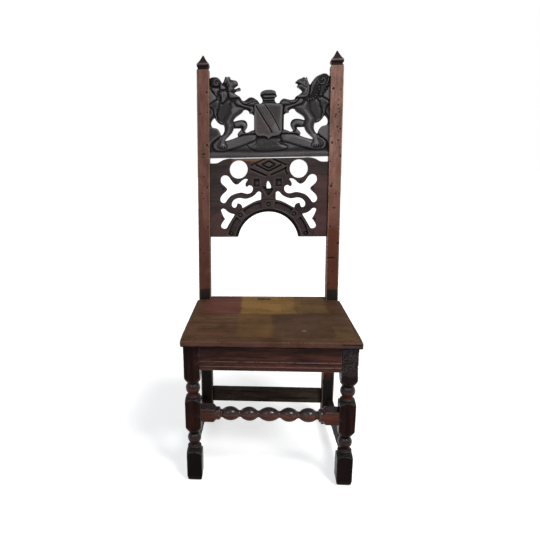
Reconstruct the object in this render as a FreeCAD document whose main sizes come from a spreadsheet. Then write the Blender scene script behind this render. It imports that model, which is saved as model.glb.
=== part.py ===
import FreeCAD, Part
import os
import re
import Sketcher
from FreeCAD import Placement, Rotation, Vector

# Joined oak chair of the wainscot kind, with a pierced and carved back, in millimetres.
# The frame is +Z up, the front of the chair looks along -Y, and left means -X, the left hand
# of someone who stands in front of the chair. The origin is on the floor, below the middle of
# the chair's outer box. Each joiner's piece is one solid: legs, posts, rails, stretchers,
# carved boards, seat boards and the wooden pegs that lock the tenons in their mortises.

# Driving sizes. Each one is a cell of the sheet, and a cell that starts with = follows others.
SIZES = [
    # the whole frame
    ("seat_height", "445", "floor to the top of the seat"),
    ("seat_thickness", "21", "seat board at its raised field"),
    ("front_spacing", "423", "between the centres of the front legs"),
    ("rear_spacing", "404", "between the centres of the rear posts"),
    ("frame_depth", "337.5", "front of the front legs to the front of the rear posts"),
    ("leg_section", "44", "side of the square front legs"),
    ("post_width", "38", "rear posts across"),
    ("post_depth", "38", "rear posts front to back"),
    ("rake", "8.1", "degrees that the back leans from the seat up"),
    # how the joints fit
    ("joint_gap", "0.15", "play on each cheek of a tenon and round a peg"),
    ("mortise_relief", "1", "spare depth at the bottom of a mortise"),
    ("overrun", "5", "how far a cut runs past the face that it opens"),
    ("tenon_thickness", "9", "tenons of the rails and stretchers"),
    ("leg_tenon", "20", "length of the tenons that enter the front legs"),
    ("post_tenon", "18", "length of the tenons that enter the posts from the front"),
    ("rear_tenon", "20", "length of the tenons that enter the posts from the side"),
    ("tenon_shoulder", "6", "rail left above and below a tenon"),
    ("haunch", "14", "rail left above a tenon at the top of a leg"),
    # finial of a rear post
    ("groove_height", "9.5", "sunk groove under the finial"),
    ("groove_depth", "3.5", "depth of that groove"),
    ("strip_height", "8", "square band that carries the spire"),
    ("spire_height", "28", "hollow sided spire"),
    ("spire_tip", "2.4", "width of the worn tip"),
    # seat
    ("seat_front_overhang", "16", "seat edge in front of the legs"),
    ("seat_side_overhang", "5.5", "seat edge beyond the legs and posts"),
    ("seat_seam", "202", "seat board joint behind the front of the legs"),
    ("seat_fit", "0.5", "play between the seat boards and round the posts"),
    ("seat_back_inset", "2", "rear seat edge in front of the back of the posts"),
    ("field_rise", "1.6", "step from the edge moulding up to the flat field"),
    ("field_margin", "13", "width of the edge moulding"),
    ("nose_radius", "3.5", "upper rounding of the seat edge"),
    ("under_reach", "6.8", "how far the seat edge is cut back underneath"),
    ("under_rise", "10.5", "height of that cut"),
    # rails under the seat
    ("rail_height", "73", "height of the rails"),
    ("rail_thickness", "22", "thickness of the rails"),
    ("rail_setback", "1", "rail moulding behind the faces of legs and posts"),
    ("bead_proud", "2.4", "beads of the rail moulding"),
    ("bead_height", "4.4", "height of one bead"),
    ("upper_bead", "27", "upper bead above the rail's lower edge"),
    ("lower_bead", "13", "lower bead above the rail's lower edge"),
    # turned work of the front legs
    ("foot_top", "89", "top of the square foot block"),
    ("mid_bottom", "176.5", "bottom of the square middle block"),
    ("mid_top", "254", "top of the square middle block"),
    ("head_bottom", "330", "bottom of the square head block"),
    ("lower_ball", "133.5", "height of the lower ball"),
    ("upper_ball", "290.5", "height of the upper ball"),
    ("lower_ball_radius", "19.6", "lower ball"),
    ("upper_ball_radius", "20.6", "upper ball"),
    ("lower_neck", "13", "radius of the necks at the lower ball"),
    ("upper_neck", "15.2", "radius of the necks at the upper ball"),
    ("neck_fillet", "1.6", "plain fillet beside a ball"),
    ("collar_radius", "19.8", "pair of collars on top of a block"),
    ("collar_round", "1", "swell of a collar"),
    ("shoulder_drop", "8", "turned shoulder above a square block"),
    ("cove_height", "7", "hollow between the collars and a neck"),
    ("foot_wear", "8", "how far the lower edge of a foot is worn back"),
    ("foot_round", "17", "height of that worn edge"),
    # front stretcher
    ("stretcher_section", "39", "square ends of the front stretcher"),
    ("stretcher_height", "212", "height of its axis"),
    ("stretcher_tenon", "28", "height of its tenons"),
    ("end_block", "34", "length of a square end"),
    ("block_shoulder", "9", "turned shoulder beside a square end"),
    ("ring_width", "10", "ring beside the shoulder"),
    ("ring_radius", "18", "radius of that ring"),
    ("bobbin_radius", "20", "radius of the five bobbins"),
    ("bobbin_neck", "9.8", "radius between two bobbins"),
    ("end_neck", "12", "radius between an outer bobbin and its ring"),
    ("bobbin_edge", "11.6", "radius where a bobbin meets the hollow"),
    ("neck_cove", "9", "width of the hollow between two bobbins"),
    ("middle_bobbin", "58", "length of the middle bobbin"),
    ("second_bobbin", "52", "length of the bobbins beside it"),
    ("outer_bobbin", "49", "length of the outer bobbins"),
    # plain stretchers
    ("side_stretcher_bottom", "48", "underside of the side stretchers"),
    ("side_stretcher_height", "44", "height of the side stretchers"),
    ("rear_stretcher_bottom", "71", "underside of the rear stretcher"),
    ("rear_stretcher_height", "49", "height of the rear stretcher"),
    ("stretcher_thickness", "20", "thickness of the side and rear stretchers"),
    # boards of the back, heights measured up the raked posts from the seat top
    ("panel_setback", "7", "face of the boards behind the face of the posts"),
    ("crest_thickness", "24", "thickness of the carved crest"),
    ("crest_height", "244", "height of the crest"),
    ("board_gap", "3", "open joint between the two boards"),
    ("post_above_crest", "20", "shaft of a post from the crest's top to the finial's groove"),
    ("arched_thickness", "20", "thickness of the arched board"),
    ("arched_bottom", "200.5", "lower edge of the arched board"),
    ("arched_height", "243.5", "height of the arched board"),
    ("panel_tenon", "16", "length of the tenons of the boards"),
    ("panel_tenon_thickness", "11", "thickness of the tenons of the boards"),
    ("tenon_root", "2", "how deep a tenon's end is rooted in its piece"),
    ("rosette_across", "93", "centres of the two round holes from the middle"),
    ("arch_radius", "96", "radius of the open arch"),
    ("arch_drop", "17.5", "its centre below the lower edge"),
    # pegs
    ("peg_radius", "3.5", "pegs of the tenons"),
    ("peg_proud", "0.6", "how far a peg stands out"),
    ("rail_peg", "26", "length of the rail pegs in the wood"),
    ("stretcher_peg", "34", "length of the front stretcher's pegs in the wood"),
    ("low_peg", "22", "length of the low stretchers' pegs in the wood"),
    ("panel_peg", "30", "length of the back boards' pegs in the wood"),
    ("seat_peg", "48", "length of the seat pegs in the wood"),
    ("seat_peg_proud", "0.3", "how far a seat peg stands out"),
    ("peg_inset", "9", "peg behind the shoulder of its tenon"),
    # worked out from the sizes above
    ("crest_bottom", "=arched_bottom + arched_height + board_gap", "lower edge of the crest"),
    ("post_shaft", "=crest_bottom + crest_height + post_above_crest",
     "raked length of a post, seat top to the groove under its finial"),
    ("rosette_radius", "=arched_height * 0.115", "the two round holes"),
    ("rosette_rise", "=arched_height * 0.8645", "their centres above the lower edge"),
    ("splay", "=(front_spacing / 2 + leg_section / 2 - rear_spacing / 2 - post_width / 2)"
              " / (frame_depth - leg_section)", "narrowing of the frame to the back"),
    ("rake_sine", "=sin(rake * 1 deg)", "raked posts, run for one of length"),
    ("rake_cosine", "=cos(rake * 1 deg)", "raked posts, rise for one of length"),
    ("band_top", "=post_shaft + groove_height + strip_height", "top of the finial's band"),
    ("overall_depth", "=seat_front_overhang + frame_depth + band_top * rake_sine"
                      " + post_depth * rake_cosine", "seat edge to the top of the posts"),
    ("front_face", "=seat_front_overhang - overall_depth / 2", "front of the front legs"),
    ("leg_back", "=front_face + leg_section", "back of the front legs"),
    ("post_face", "=front_face + frame_depth", "front of the posts under the seat"),
    ("post_back", "=post_face + post_depth", "back of the posts under the seat"),
    ("leg_inner", "=front_spacing / 2 - leg_section / 2", "inner face of a front leg"),
    ("leg_outer", "=front_spacing / 2 + leg_section / 2", "outer face of a front leg"),
    ("post_inner", "=rear_spacing / 2 - post_width / 2", "inner face of a post"),
    ("post_outer", "=rear_spacing / 2 + post_width / 2", "outer face of a post"),
    ("leg_height", "=seat_height - seat_thickness", "top of the front legs and rails"),
    ("rail_bottom", "=leg_height - rail_height", "lower edge of the rails"),
    ("corner_reach", "=leg_section / sqrt(2) + joint_gap", "radius past a leg's corners"),
    ("end_reach", "=stretcher_section / sqrt(2) + joint_gap", "radius past its corners"),
    ("lower_half", "=sqrt(lower_ball_radius ^ 2 - lower_neck ^ 2)", "half its height"),
    ("upper_half", "=sqrt(upper_ball_radius ^ 2 - upper_neck ^ 2)", "half its height"),
    ("front_rail_axis", "=front_face + rail_setback + rail_thickness / 2", "middle of the rail"),
    ("rear_rail_axis", "=post_back - rail_setback - rail_thickness / 2", "middle of the rail"),
    ("rear_stretcher_axis", "=post_back - rail_setback - stretcher_thickness / 2", "its middle"),
    ("front_stretcher_axis", "=front_face + leg_section / 2", "middle of the turned stretcher"),
    ("side_rail_line", "=leg_outer - rail_setback - rail_thickness / 2", "at the legs' back"),
    ("side_stretcher_line", "=leg_outer - rail_setback - stretcher_thickness / 2",
     "at the legs' back"),
    ("rounding", "=1 - sqrt(0.5)", "where the middle of a quarter round lies"),
    ("seat_front", "=front_face - seat_front_overhang", "front edge of the seat"),
    ("seat_back", "=post_back - seat_back_inset", "rear edge of the seat"),
    ("seam_line", "=front_face + seat_seam", "joint of the two seat boards"),
    ("board_thickness", "=seat_thickness - field_rise", "seat board at its moulded edge"),
    ("peg_hole", "=peg_radius + joint_gap", "radius of a peg's hole"),
    ("crest_axis", "=panel_setback + crest_thickness / 2", "middle of the crest"),
    ("arched_axis", "=panel_setback + arched_thickness / 2", "middle of the arched board"),
]

# Outlines of the carved boards. Each is a list of strokes that start where the last one ends.
# A stroke of one point is a straight cut, a longer one is a curve through its points. A point
# is a share of half the board's width, from its middle, and a share of its height, from below.
SKYLINE_SHARES = [
    [(1.000, 0.971)],
    [(0.970, 0.973)],
    [(0.937, 0.994), (0.888, 1.000), (0.834, 0.990), (0.779, 0.969), (0.725, 0.930),
     (0.689, 0.891), (0.670, 0.869)],
    [(0.649, 0.906), (0.619, 0.971)],
    [(0.597, 0.955), (0.575, 0.971)],
    [(0.534, 0.955), (0.490, 0.944), (0.452, 0.924), (0.428, 0.904)],
    [(0.452, 0.898), (0.474, 0.885), (0.452, 0.859)],
    [(0.485, 0.842), (0.523, 0.822), (0.550, 0.793)],
    [(0.523, 0.775), (0.485, 0.752), (0.447, 0.738), (0.425, 0.709)],
    [(0.387, 0.699), (0.338, 0.701), (0.294, 0.709), (0.251, 0.717), (0.210, 0.705),
     (0.172, 0.662)],
    [(0.120, 0.662)],
    [(0.101, 0.684), (0.095, 0.713), (0.136, 0.752)],
    [(0.117, 0.770), (0.109, 0.797), (0.076, 0.818), (-0.011, 0.828), (-0.098, 0.819),
     (-0.139, 0.795), (-0.147, 0.758)],
    [(-0.117, 0.725), (-0.109, 0.697), (-0.125, 0.663)],
    [(-0.161, 0.663)],
    [(-0.185, 0.695), (-0.234, 0.723), (-0.289, 0.742), (-0.349, 0.732), (-0.387, 0.711),
     (-0.428, 0.699)],
    [(-0.458, 0.715), (-0.488, 0.750), (-0.534, 0.773), (-0.583, 0.803)],
    [(-0.534, 0.823), (-0.493, 0.824)],
    [(-0.474, 0.842), (-0.490, 0.861), (-0.540, 0.854), (-0.589, 0.855)],
    [(-0.556, 0.879), (-0.520, 0.902), (-0.537, 0.939), (-0.589, 0.955), (-0.646, 0.967)],
    [(-0.657, 0.994), (-0.676, 0.999)],
    [(-0.698, 0.990), (-0.717, 0.996), (-0.736, 1.000)],
    [(-0.749, 0.967), (-0.782, 0.918)],
    [(-0.815, 0.957), (-0.856, 0.988), (-0.916, 1.000), (-0.970, 0.994), (-1.000, 0.980)],
]
TAIL_GAP_SHARES = [
    [(0.918, 0.504)],
    [(0.967, 0.465), (0.979, 0.422), (0.951, 0.383), (0.883, 0.369), (0.837, 0.336),
     (0.815, 0.279)],
    [(0.774, 0.301), (0.750, 0.352), (0.768, 0.416)],
    [(0.828, 0.426), (0.877, 0.455), (0.918, 0.504)],
]
BODY_GAP_SHARES = [
    [(0.599, 0.449)],
    [(0.580, 0.486), (0.496, 0.535), (0.428, 0.590)],
    [(0.381, 0.592), (0.335, 0.568), (0.332, 0.545)],
    [(0.294, 0.541), (0.267, 0.533), (0.251, 0.508)],
    [(0.249, 0.338)],
    [(0.300, 0.332), (0.354, 0.314), (0.409, 0.326)],
    [(0.376, 0.363), (0.360, 0.402), (0.379, 0.447), (0.431, 0.467), (0.512, 0.465),
     (0.599, 0.449)],
]
LEG_GAP_SHARES = [
    [(0.591, 0.369)],
    [(0.466, 0.367)],
    [(0.493, 0.330), (0.529, 0.295), (0.515, 0.264)],
    [(0.621, 0.234), (0.749, 0.212)],
    [(0.698, 0.254), (0.627, 0.309), (0.591, 0.369)],
]
SCROLL_GAP_SHARES = [
    [(0.815, 0.745)],
    [(0.774, 0.789), (0.711, 0.789), (0.659, 0.754), (0.616, 0.706), (0.542, 0.673),
     (0.480, 0.702), (0.431, 0.733), (0.341, 0.735)],
    [(0.384, 0.698), (0.390, 0.655), (0.360, 0.641)],
    [(0.324, 0.661), (0.278, 0.645), (0.270, 0.598), (0.311, 0.563), (0.371, 0.556),
     (0.455, 0.571), (0.534, 0.563), (0.621, 0.540), (0.687, 0.497), (0.730, 0.452)],
    [(0.779, 0.439), (0.823, 0.470), (0.804, 0.532), (0.744, 0.577), (0.708, 0.614),
     (0.752, 0.655), (0.804, 0.694), (0.815, 0.745)],
]
BIRD_GAP_SHARES = [
    [(0.125, 0.565)],
    [(0.155, 0.581), (0.193, 0.571)],
    [(0.245, 0.530), (0.327, 0.499), (0.398, 0.490), (0.480, 0.500), (0.561, 0.489),
     (0.621, 0.444), (0.621, 0.396), (0.580, 0.377), (0.542, 0.400), (0.531, 0.431),
     (0.490, 0.427), (0.458, 0.368)],
    [(0.403, 0.388), (0.305, 0.429), (0.125, 0.476)],
    [(0.125, 0.565)],
]
FOOT_GAP_SHARES = [
    [(0.817, 0.349)],
    [(0.782, 0.366), (0.741, 0.359)],
    [(0.692, 0.324), (0.572, 0.294)],
    [(0.621, 0.236), (0.676, 0.168), (0.714, 0.117)],
    [(0.757, 0.105), (0.812, 0.127), (0.796, 0.179), (0.744, 0.230)],
    [(0.787, 0.285), (0.817, 0.349)],
]
WEDGE_GAP_SHARES = [
    [(-0.011, 0.721)],
    [(-0.033, 0.663), (-0.027, 0.622)],
    [(0.011, 0.620), (0.046, 0.628)],
    [(0.033, 0.671), (-0.011, 0.721)],
]
TOP_DIP_SHARES = [
    [(1.000, 0.947)],
    [(0.937, 0.945), (0.861, 0.951), (0.796, 0.977), (0.708, 0.998), (0.599, 1.000)],
]
# The spire's hollow sides: share of its width at shares of its height.
SPIRE_SHARES = [(0.760, 0.17), (0.480, 0.45), (0.270, 0.72)]
# Tenons of the boards and their pegs, as shares of each board's height.
CREST_TENON_SHARES = (0.04, 0.92)
ARCHED_TENON_SHARES = (0.04, 0.92)
CREST_PEG_SHARES = (0.16, 0.807)
ARCHED_PEG_SHARES = (0.13, 0.64)
# Pegs of the rails as shares of the rail's height, and of the seat as shares of the frame.
RAIL_PEG_SHARES = (0.33, 0.66)
SEAT_FRONT_SHARES = (-0.62, 0.0, 0.62)
SEAT_SIDE_SHARES = (0.3, 0.78)
SEAT_REAR_SHARES = (-0.5, 0.5)

doc = FreeCAD.newDocument("WainscotChair")
sheet = doc.addObject("Spreadsheet::Sheet", "sizes")
for row, (name, cell, meaning) in enumerate(SIZES, start=1):
    sheet.set("A%d" % row, name)
    sheet.set("B%d" % row, cell)
    sheet.set("C%d" % row, meaning)
    sheet.setAlias("B%d" % row, name)
doc.recompute()

NAMES = re.compile(r"\b(" + "|".join(name for name, cell, meaning in SIZES) + r")\b")


def bound(formula):
    """Write a formula of size names the way an expression reads them from the sheet."""
    return NAMES.sub(r"sizes.\1", formula)


def value(formula):
    """The number that a formula of size names gives now."""
    return float(sheet.evalExpression(bound(formula)))


def bind(item, **formulas):
    """Tie properties of an object to formulas of size names."""
    for name, formula in formulas.items():
        item.setExpression(name, bound(formula))
    return item


def put(item, across, behind, up):
    """Tie an object's place to formulas."""
    item.setExpression("Placement.Base.x", bound(across))
    item.setExpression("Placement.Base.y", bound(behind))
    item.setExpression("Placement.Base.z", bound(up))
    return item


def lean(item):
    """Lay a piece drawn upright on the raked posts, whose bend is on their front face."""
    item.Placement = Placement(Vector(), Rotation(Vector(1, 0, 0), -value("rake")))
    item.setExpression("Placement.Rotation.Angle", bound("-rake * 1 deg"))
    return put(item, "0", "post_face", "seat_height")


def block(label, across, behind, up):
    """A squared piece from three pairs of formulas, each the low and the high side."""
    box = doc.addObject("Part::Box", label)
    bind(box, Length="(%s) - (%s)" % (across[1], across[0]),
         Width="(%s) - (%s)" % (behind[1], behind[0]),
         Height="(%s) - (%s)" % (up[1], up[0]))
    return put(box, across[0], behind[0], up[0])


def wedge(label, front_across, rear_across, behind, up, rear_up):
    """A piece whose front and rear ends are two rectangles, given as pairs of formulas."""
    item = doc.addObject("Part::Wedge", label)
    return bind(item, Xmin=front_across[0], Xmax=front_across[1],
                X2min=rear_across[0], X2max=rear_across[1],
                Ymin=behind[0], Ymax=behind[1],
                Zmin=up[0], Zmax=up[1], Z2min=rear_up[0], Z2max=rear_up[1])


def side_line(line, behind):
    """Where the middle of a splayed side piece lies at a distance behind."""
    return "(%s) - splay * ((%s) - leg_back)" % (line, behind)


def side_bar(label, line, thickness, behind, up):
    """A splayed bar of the right side, its ends cut square to the chair."""
    front, rear = [centred(side_line(line, place), thickness) for place in behind]
    return wedge(label, front, rear, behind, up, up)


def rod(label, radius, length, start, towards):
    """A round bar from a start point towards +X, +Y or +Z."""
    cylinder = doc.addObject("Part::Cylinder", label)
    bind(cylinder, Radius=radius, Height=length)
    turns = {"x": Rotation(Vector(0, 1, 0), 90), "y": Rotation(Vector(1, 0, 0), -90),
             "z": Rotation()}
    cylinder.Placement = Placement(Vector(), turns[towards])
    return put(cylinder, *start)


def fuse(label, pieces):
    """Make one piece of several."""
    joined = doc.addObject("Part::MultiFuse", label)
    joined.Shapes = pieces
    return joined


def cut(label, base, tools):
    """Take several cuts out of a piece."""
    result = doc.addObject("Part::Cut", label)
    result.Base = base
    result.Tool = tools[0] if len(tools) == 1 else fuse(label + "_cuts", tools)
    return result


def mirror(label, source):
    """The left hand copy of a right hand piece."""
    copy = doc.addObject("Part::Mirroring", label)
    copy.Source = source
    copy.Normal = Vector(1, 0, 0)
    return copy


def group(label, pieces):
    """Like fasteners that share one name."""
    kept = doc.addObject("Part::Compound", label)
    kept.Links = pieces
    return kept


def plane_of(body, role):
    """One of a body's own origin planes or axes."""
    return next(item for item in body.Origin.OriginFeatures if item.Role == role)


def draw(sketch, strokes):
    """Draw a closed outline, with every corner tied to formulas.

    The first stroke is the start. A stroke of one corner is a line, and a stroke of two is
    an arc that passes through the first and ends at the second.
    """
    def pin(index, corner, formulas):
        for axis, kind, formula in zip((-2, -1), ("DistanceX", "DistanceY"), formulas):
            if formula == "0":
                sketch.addConstraint(Sketcher.Constraint("PointOnObject", index, corner, axis))
                continue
            number = sketch.addConstraint(
                Sketcher.Constraint(kind, -1, 1, index, corner, value(formula)))
            sketch.setExpression("Constraints[%d]" % number, bound(formula))

    def at(formulas):
        return Vector(value(formulas[0]), value(formulas[1]), 0)

    start = strokes[0][0]
    here = start
    first = last = None
    for stroke in strokes[1:] + ([[start]] if strokes[-1][-1] != start else []):
        there = stroke[-1]
        if len(stroke) == 1:
            index = sketch.addGeometry(Part.LineSegment(at(here), at(there)))
            begin, end = 1, 2
        else:
            index = sketch.addGeometry(Part.Arc(at(here), at(stroke[0]), at(there)))
            ends = [sketch.getPoint(index, corner).distanceToPoint(at(here)) for corner in (1, 2)]
            begin, end = (1, 2) if ends[0] < ends[1] else (2, 1)
            through = sketch.addGeometry(Part.Point(at(stroke[0])), True)
            pin(through, 1, stroke[0])
            sketch.addConstraint(Sketcher.Constraint("PointOnObject", through, 1, index))
        if last is None:
            first = (index, begin)
            pin(index, begin, here)
        else:
            sketch.addConstraint(
                Sketcher.Constraint("Coincident", last[0], last[1], index, begin))
        if there == start:
            sketch.addConstraint(
                Sketcher.Constraint("Coincident", index, end, first[0], first[1]))
        else:
            pin(index, end, there)
        last = (index, end)
        here = there
    return sketch


def sketch_in(body, label, role, strokes):
    """A closed outline on one of a body's own planes."""
    sketch = body.newObject("Sketcher::SketchObject", label)
    sketch.AttachmentSupport = [(plane_of(body, role), "")]
    sketch.MapMode = "FlatFace"
    return draw(sketch, strokes)


def sketch_free(label, strokes):
    """A closed outline that stands across the chair."""
    sketch = doc.addObject("Sketcher::SketchObject", label)
    sketch.Placement = Placement(Vector(), Rotation(Vector(1, 0, 0), 90))
    return draw(sketch, strokes)


def turned(label, strokes, upright):
    """A piece turned on the lathe from a half profile, about Z when upright, or about X."""
    body = doc.addObject("PartDesign::Body", label)
    profile = sketch_in(body, label + "_profile", "XZ_Plane", strokes)
    spin = body.newObject("PartDesign::Revolution", label + "_spin")
    spin.Profile = profile
    spin.ReferenceAxis = (profile, ["V_Axis" if upright else "H_Axis"])
    spin.Angle = 360
    return body


def outline(shares, half_width, bottom, height, mirrored=False):
    """A closed wire in the XZ plane from strokes of shares."""
    side = -1 if mirrored else 1

    def at(point):
        return Vector(side * point[0] * half_width, 0, bottom + point[1] * height)

    start = at(shares[0][0])
    here = start
    edges = []
    for stroke in shares[1:]:
        points = [here] + [at(point) for point in stroke]
        if len(points) == 2:
            edges.append(Part.LineSegment(*points).toShape())
        else:
            curve = Part.BSplineCurve()
            curve.interpolate(points)
            edges.append(curve.toShape())
        here = points[-1]
    if here.distanceToPoint(start) > half_width / 100000:
        edges.append(Part.LineSegment(here, start).toShape())
    return Part.Wire(edges)


def baluster(block_top, which, block_bottom):
    """The turned profile from a block up to the next one, with a ball between them."""
    ball = which + "_ball"
    radius = ball + "_radius"
    neck = which + "_neck"
    half = which + "_half"
    collars = "(%s - %s - neck_fillet - cove_height - %s - shoulder_drop)" % (
        ball, half, block_top)
    first = "%s + shoulder_drop" % block_top
    second = "%s + %s / 2" % (first, collars)
    third = "%s + %s" % (first, collars)
    groove = "collar_radius - collar_round"
    low_neck = "%s - %s" % (ball, half)
    high_neck = "%s + %s + neck_fillet" % (ball, half)
    return [
        [("corner_reach", block_top)],
        [("collar_radius", first)],
        [("collar_radius + collar_round", "%s + %s / 4" % (first, collars)), (groove, second)],
        [("collar_radius", "%s + %s * 3 / 4" % (first, collars)), (groove, third)],
        [("(collar_radius + 3 * %s) / 4" % neck, "%s + cove_height / 3" % third),
         (neck, "%s - neck_fillet" % low_neck)],
        [(neck, low_neck)],
        [(radius, ball), (neck, "%s + %s" % (ball, half))],
        [(neck, high_neck)],
        [("(%s + corner_reach) / 2 + collar_round" % neck,
          "(%s + %s) / 2" % (high_neck, block_bottom)), ("corner_reach", block_bottom)],
    ]


def eased(pair):
    """Both sides of a size moved out by the joint's play."""
    return ("(%s) - joint_gap" % pair[0], "(%s) + joint_gap" % pair[1])


def centred(middle, size):
    """The two sides of a size about its middle."""
    return ("(%s) - (%s) / 2" % (middle, size), "(%s) + (%s) / 2" % (middle, size))


def both_sides(pieces):
    """The pieces of the right side with their left hand copies."""
    return pieces + [mirror(piece.Label + "_left", piece) for piece in pieces]


# Heights, low side and high side, of the rails, the stretchers and their tenons.
RAIL = ("rail_bottom", "leg_height")
RAIL_TENON = ("rail_bottom + tenon_shoulder", "leg_height - haunch")
FRONT_STRETCHER_TENON = centred("stretcher_height", "stretcher_tenon")
LOW_SIDE = ("side_stretcher_bottom", "side_stretcher_bottom + side_stretcher_height")
LOW_SIDE_TENON = ("%s + tenon_shoulder" % LOW_SIDE[0], "%s - tenon_shoulder" % LOW_SIDE[1])
LOW_REAR = ("rear_stretcher_bottom", "rear_stretcher_bottom + rear_stretcher_height")
LOW_REAR_TENON = ("%s + tenon_shoulder" % LOW_REAR[0], "%s - tenon_shoulder" % LOW_REAR[1])
LOW_SIDE_MIDDLE = "side_stretcher_bottom + side_stretcher_height / 2"
LOW_REAR_MIDDLE = "rear_stretcher_bottom + rear_stretcher_height / 2"
RAIL_PEG_HEIGHTS = ["rail_bottom + rail_height * %s" % share for share in RAIL_PEG_SHARES]


def pegged(name, length, face, towards, inward, places, proud="peg_proud"):
    """Pegs and their holes, driven in at a face along one axis, inward being 1 or -1."""
    pins = []
    holes = []
    index = "xyz".index(towards)
    for number, place in enumerate(places, start=1):
        pin_start = list(place)
        hole_start = list(place)
        if inward > 0:
            pin_start[index] = "(%s) - %s" % (face, proud)
            hole_start[index] = "(%s) - overrun" % face
        else:
            pin_start[index] = "(%s) - %s" % (face, length)
            hole_start[index] = "(%s) - %s - mortise_relief" % (face, length)
        pins.append(rod("%s_%d" % (name, number), "peg_radius", "%s + %s" % (length, proud),
                        pin_start, towards))
        holes.append(rod("%s_hole_%d" % (name, number), "peg_hole",
                         "%s + overrun + mortise_relief" % length, hole_start, towards))
    return pins, holes


front_rail_pegs, front_rail_holes = pegged(
    "front_rail_peg", "rail_peg", "front_face", "y", 1,
    [("leg_inner + peg_inset", "0", height) for height in RAIL_PEG_HEIGHTS])
side_front_pegs, side_front_holes = pegged(
    "side_rail_front_peg", "rail_peg", "leg_outer", "x", -1,
    [("0", "leg_back - peg_inset", height) for height in RAIL_PEG_HEIGHTS])
side_rear_pegs, side_rear_holes = pegged(
    "side_rail_rear_peg", "low_peg", "post_outer", "x", -1,
    [("0", "post_face + peg_inset", height) for height in RAIL_PEG_HEIGHTS])
rear_rail_pegs, rear_rail_holes = pegged(
    "rear_rail_peg", "low_peg", "post_back", "y", -1,
    [("post_inner + peg_inset", "0", height) for height in RAIL_PEG_HEIGHTS])
front_stretcher_pegs, front_stretcher_holes = pegged(
    "front_stretcher_peg", "stretcher_peg", "front_face", "y", 1,
    [("leg_inner + peg_inset", "0", "stretcher_height")])
low_front_pegs, low_front_holes = pegged(
    "side_stretcher_front_peg", "rail_peg", "leg_outer", "x", -1,
    [("0", "leg_back - peg_inset", LOW_SIDE_MIDDLE)])
low_rear_pegs, low_rear_holes = pegged(
    "side_stretcher_rear_peg", "low_peg", "post_outer", "x", -1,
    [("0", "post_face + peg_inset", LOW_SIDE_MIDDLE)])
rear_stretcher_pegs, rear_stretcher_holes = pegged(
    "rear_stretcher_peg", "low_peg", "post_back", "y", -1,
    [("post_inner + peg_inset", "0", LOW_REAR_MIDDLE)])

seat_front_pegs, seat_front_holes = pegged(
    "seat_front_peg", "seat_peg", "seat_height", "z", -1,
    [("leg_inner * %s" % share, "front_rail_axis", "0") for share in SEAT_FRONT_SHARES],
    "seat_peg_proud")
seat_side_pegs, seat_side_holes = pegged(
    "seat_side_peg", "seat_peg", "seat_height", "z", -1,
    [("(%s)" % side_line("side_rail_line", "front_face + frame_depth * %s" % share),
      "front_face + frame_depth * %s" % share, "0") for share in SEAT_SIDE_SHARES],
    "seat_peg_proud")
seat_rear_pegs, seat_rear_holes = pegged(
    "seat_rear_peg", "seat_peg", "seat_height", "z", -1,
    [("post_inner * %s" % share, "rear_rail_axis", "0") for share in SEAT_REAR_SHARES],
    "seat_peg_proud")


def side_tenons(label, line, height, ease):
    """The bar that carries both tenons of a splayed side piece, or cuts its mortises."""
    relief = "+ mortise_relief" if ease else ""
    thick = "tenon_thickness + 2 * joint_gap" if ease else "tenon_thickness"
    behind = ("leg_back - (leg_tenon %s)" % relief, "post_face + post_tenon %s" % relief)
    return side_bar(label, line, thick, behind, eased(height) if ease else height)


def cross_tenons(label, reach, axis, height, ease):
    """The bar that carries both tenons of a piece between two sides, or cuts its mortises."""
    end = "(%s + mortise_relief)" % reach if ease else "(%s)" % reach
    thick = "tenon_thickness + 2 * joint_gap" if ease else "tenon_thickness"
    return block(label, ("-%s" % end, end), centred(axis, thick),
                 eased(height) if ease else height)


def frustum(label, low, high, rise):
    """A squared frustum about the Z axis from one size of square to another."""
    item = wedge(label, centred("0", low), centred("0", high), rise,
                 centred("0", low), centred("0", high))
    item.Placement = Placement(Vector(), Rotation(Vector(1, 0, 0), 90))
    return item


def front_legs():
    """Squared stock turned between its blocks, then mortised on two faces and inside."""
    side = centred("0", "leg_section")
    stock = fuse("leg_stock", [
        frustum("leg_foot_edge", "leg_section - 2 * foot_wear",
                "leg_section - 2 * foot_wear * rounding", ("0", "foot_round * rounding")),
        frustum("leg_foot", "leg_section - 2 * foot_wear * rounding", "leg_section",
                ("foot_round * rounding", "foot_round")),
        block("leg_blank", side, side, ("foot_round", "leg_height"))])
    strokes = [[("0", "0")], [("leg_section", "0")], [("leg_section", "foot_top")]]
    strokes += baluster("foot_top", "lower", "mid_bottom")
    strokes += [[("leg_section", "mid_bottom")], [("leg_section", "mid_top")]]
    strokes += baluster("mid_top", "upper", "head_bottom")
    strokes += [[("leg_section", "head_bottom")], [("leg_section", "leg_height")],
                [("0", "leg_height")]]
    form = doc.addObject("Part::Common", "leg_form")
    form.Base = stock
    form.Tool = turned("leg_turning", strokes, True)
    put(form, "front_spacing / 2", "front_face + leg_section / 2", "0")
    cuts = [
        cross_tenons("leg_front_mortise", "leg_inner + leg_tenon", "front_rail_axis",
                     RAIL_TENON, True),
        cross_tenons("leg_stretcher_mortise", "leg_inner + leg_tenon", "front_stretcher_axis",
                     FRONT_STRETCHER_TENON, True),
        side_tenons("leg_side_mortise", "side_rail_line", RAIL_TENON, True),
        side_tenons("leg_low_mortise", "side_stretcher_line", LOW_SIDE_TENON, True),
    ]
    cuts += front_rail_holes + side_front_holes + front_stretcher_holes + low_front_holes
    right = cut("front_leg_right", form, cuts)
    return {"front_leg_right": right, "front_leg_left": mirror("front_leg_left", right)}


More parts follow.
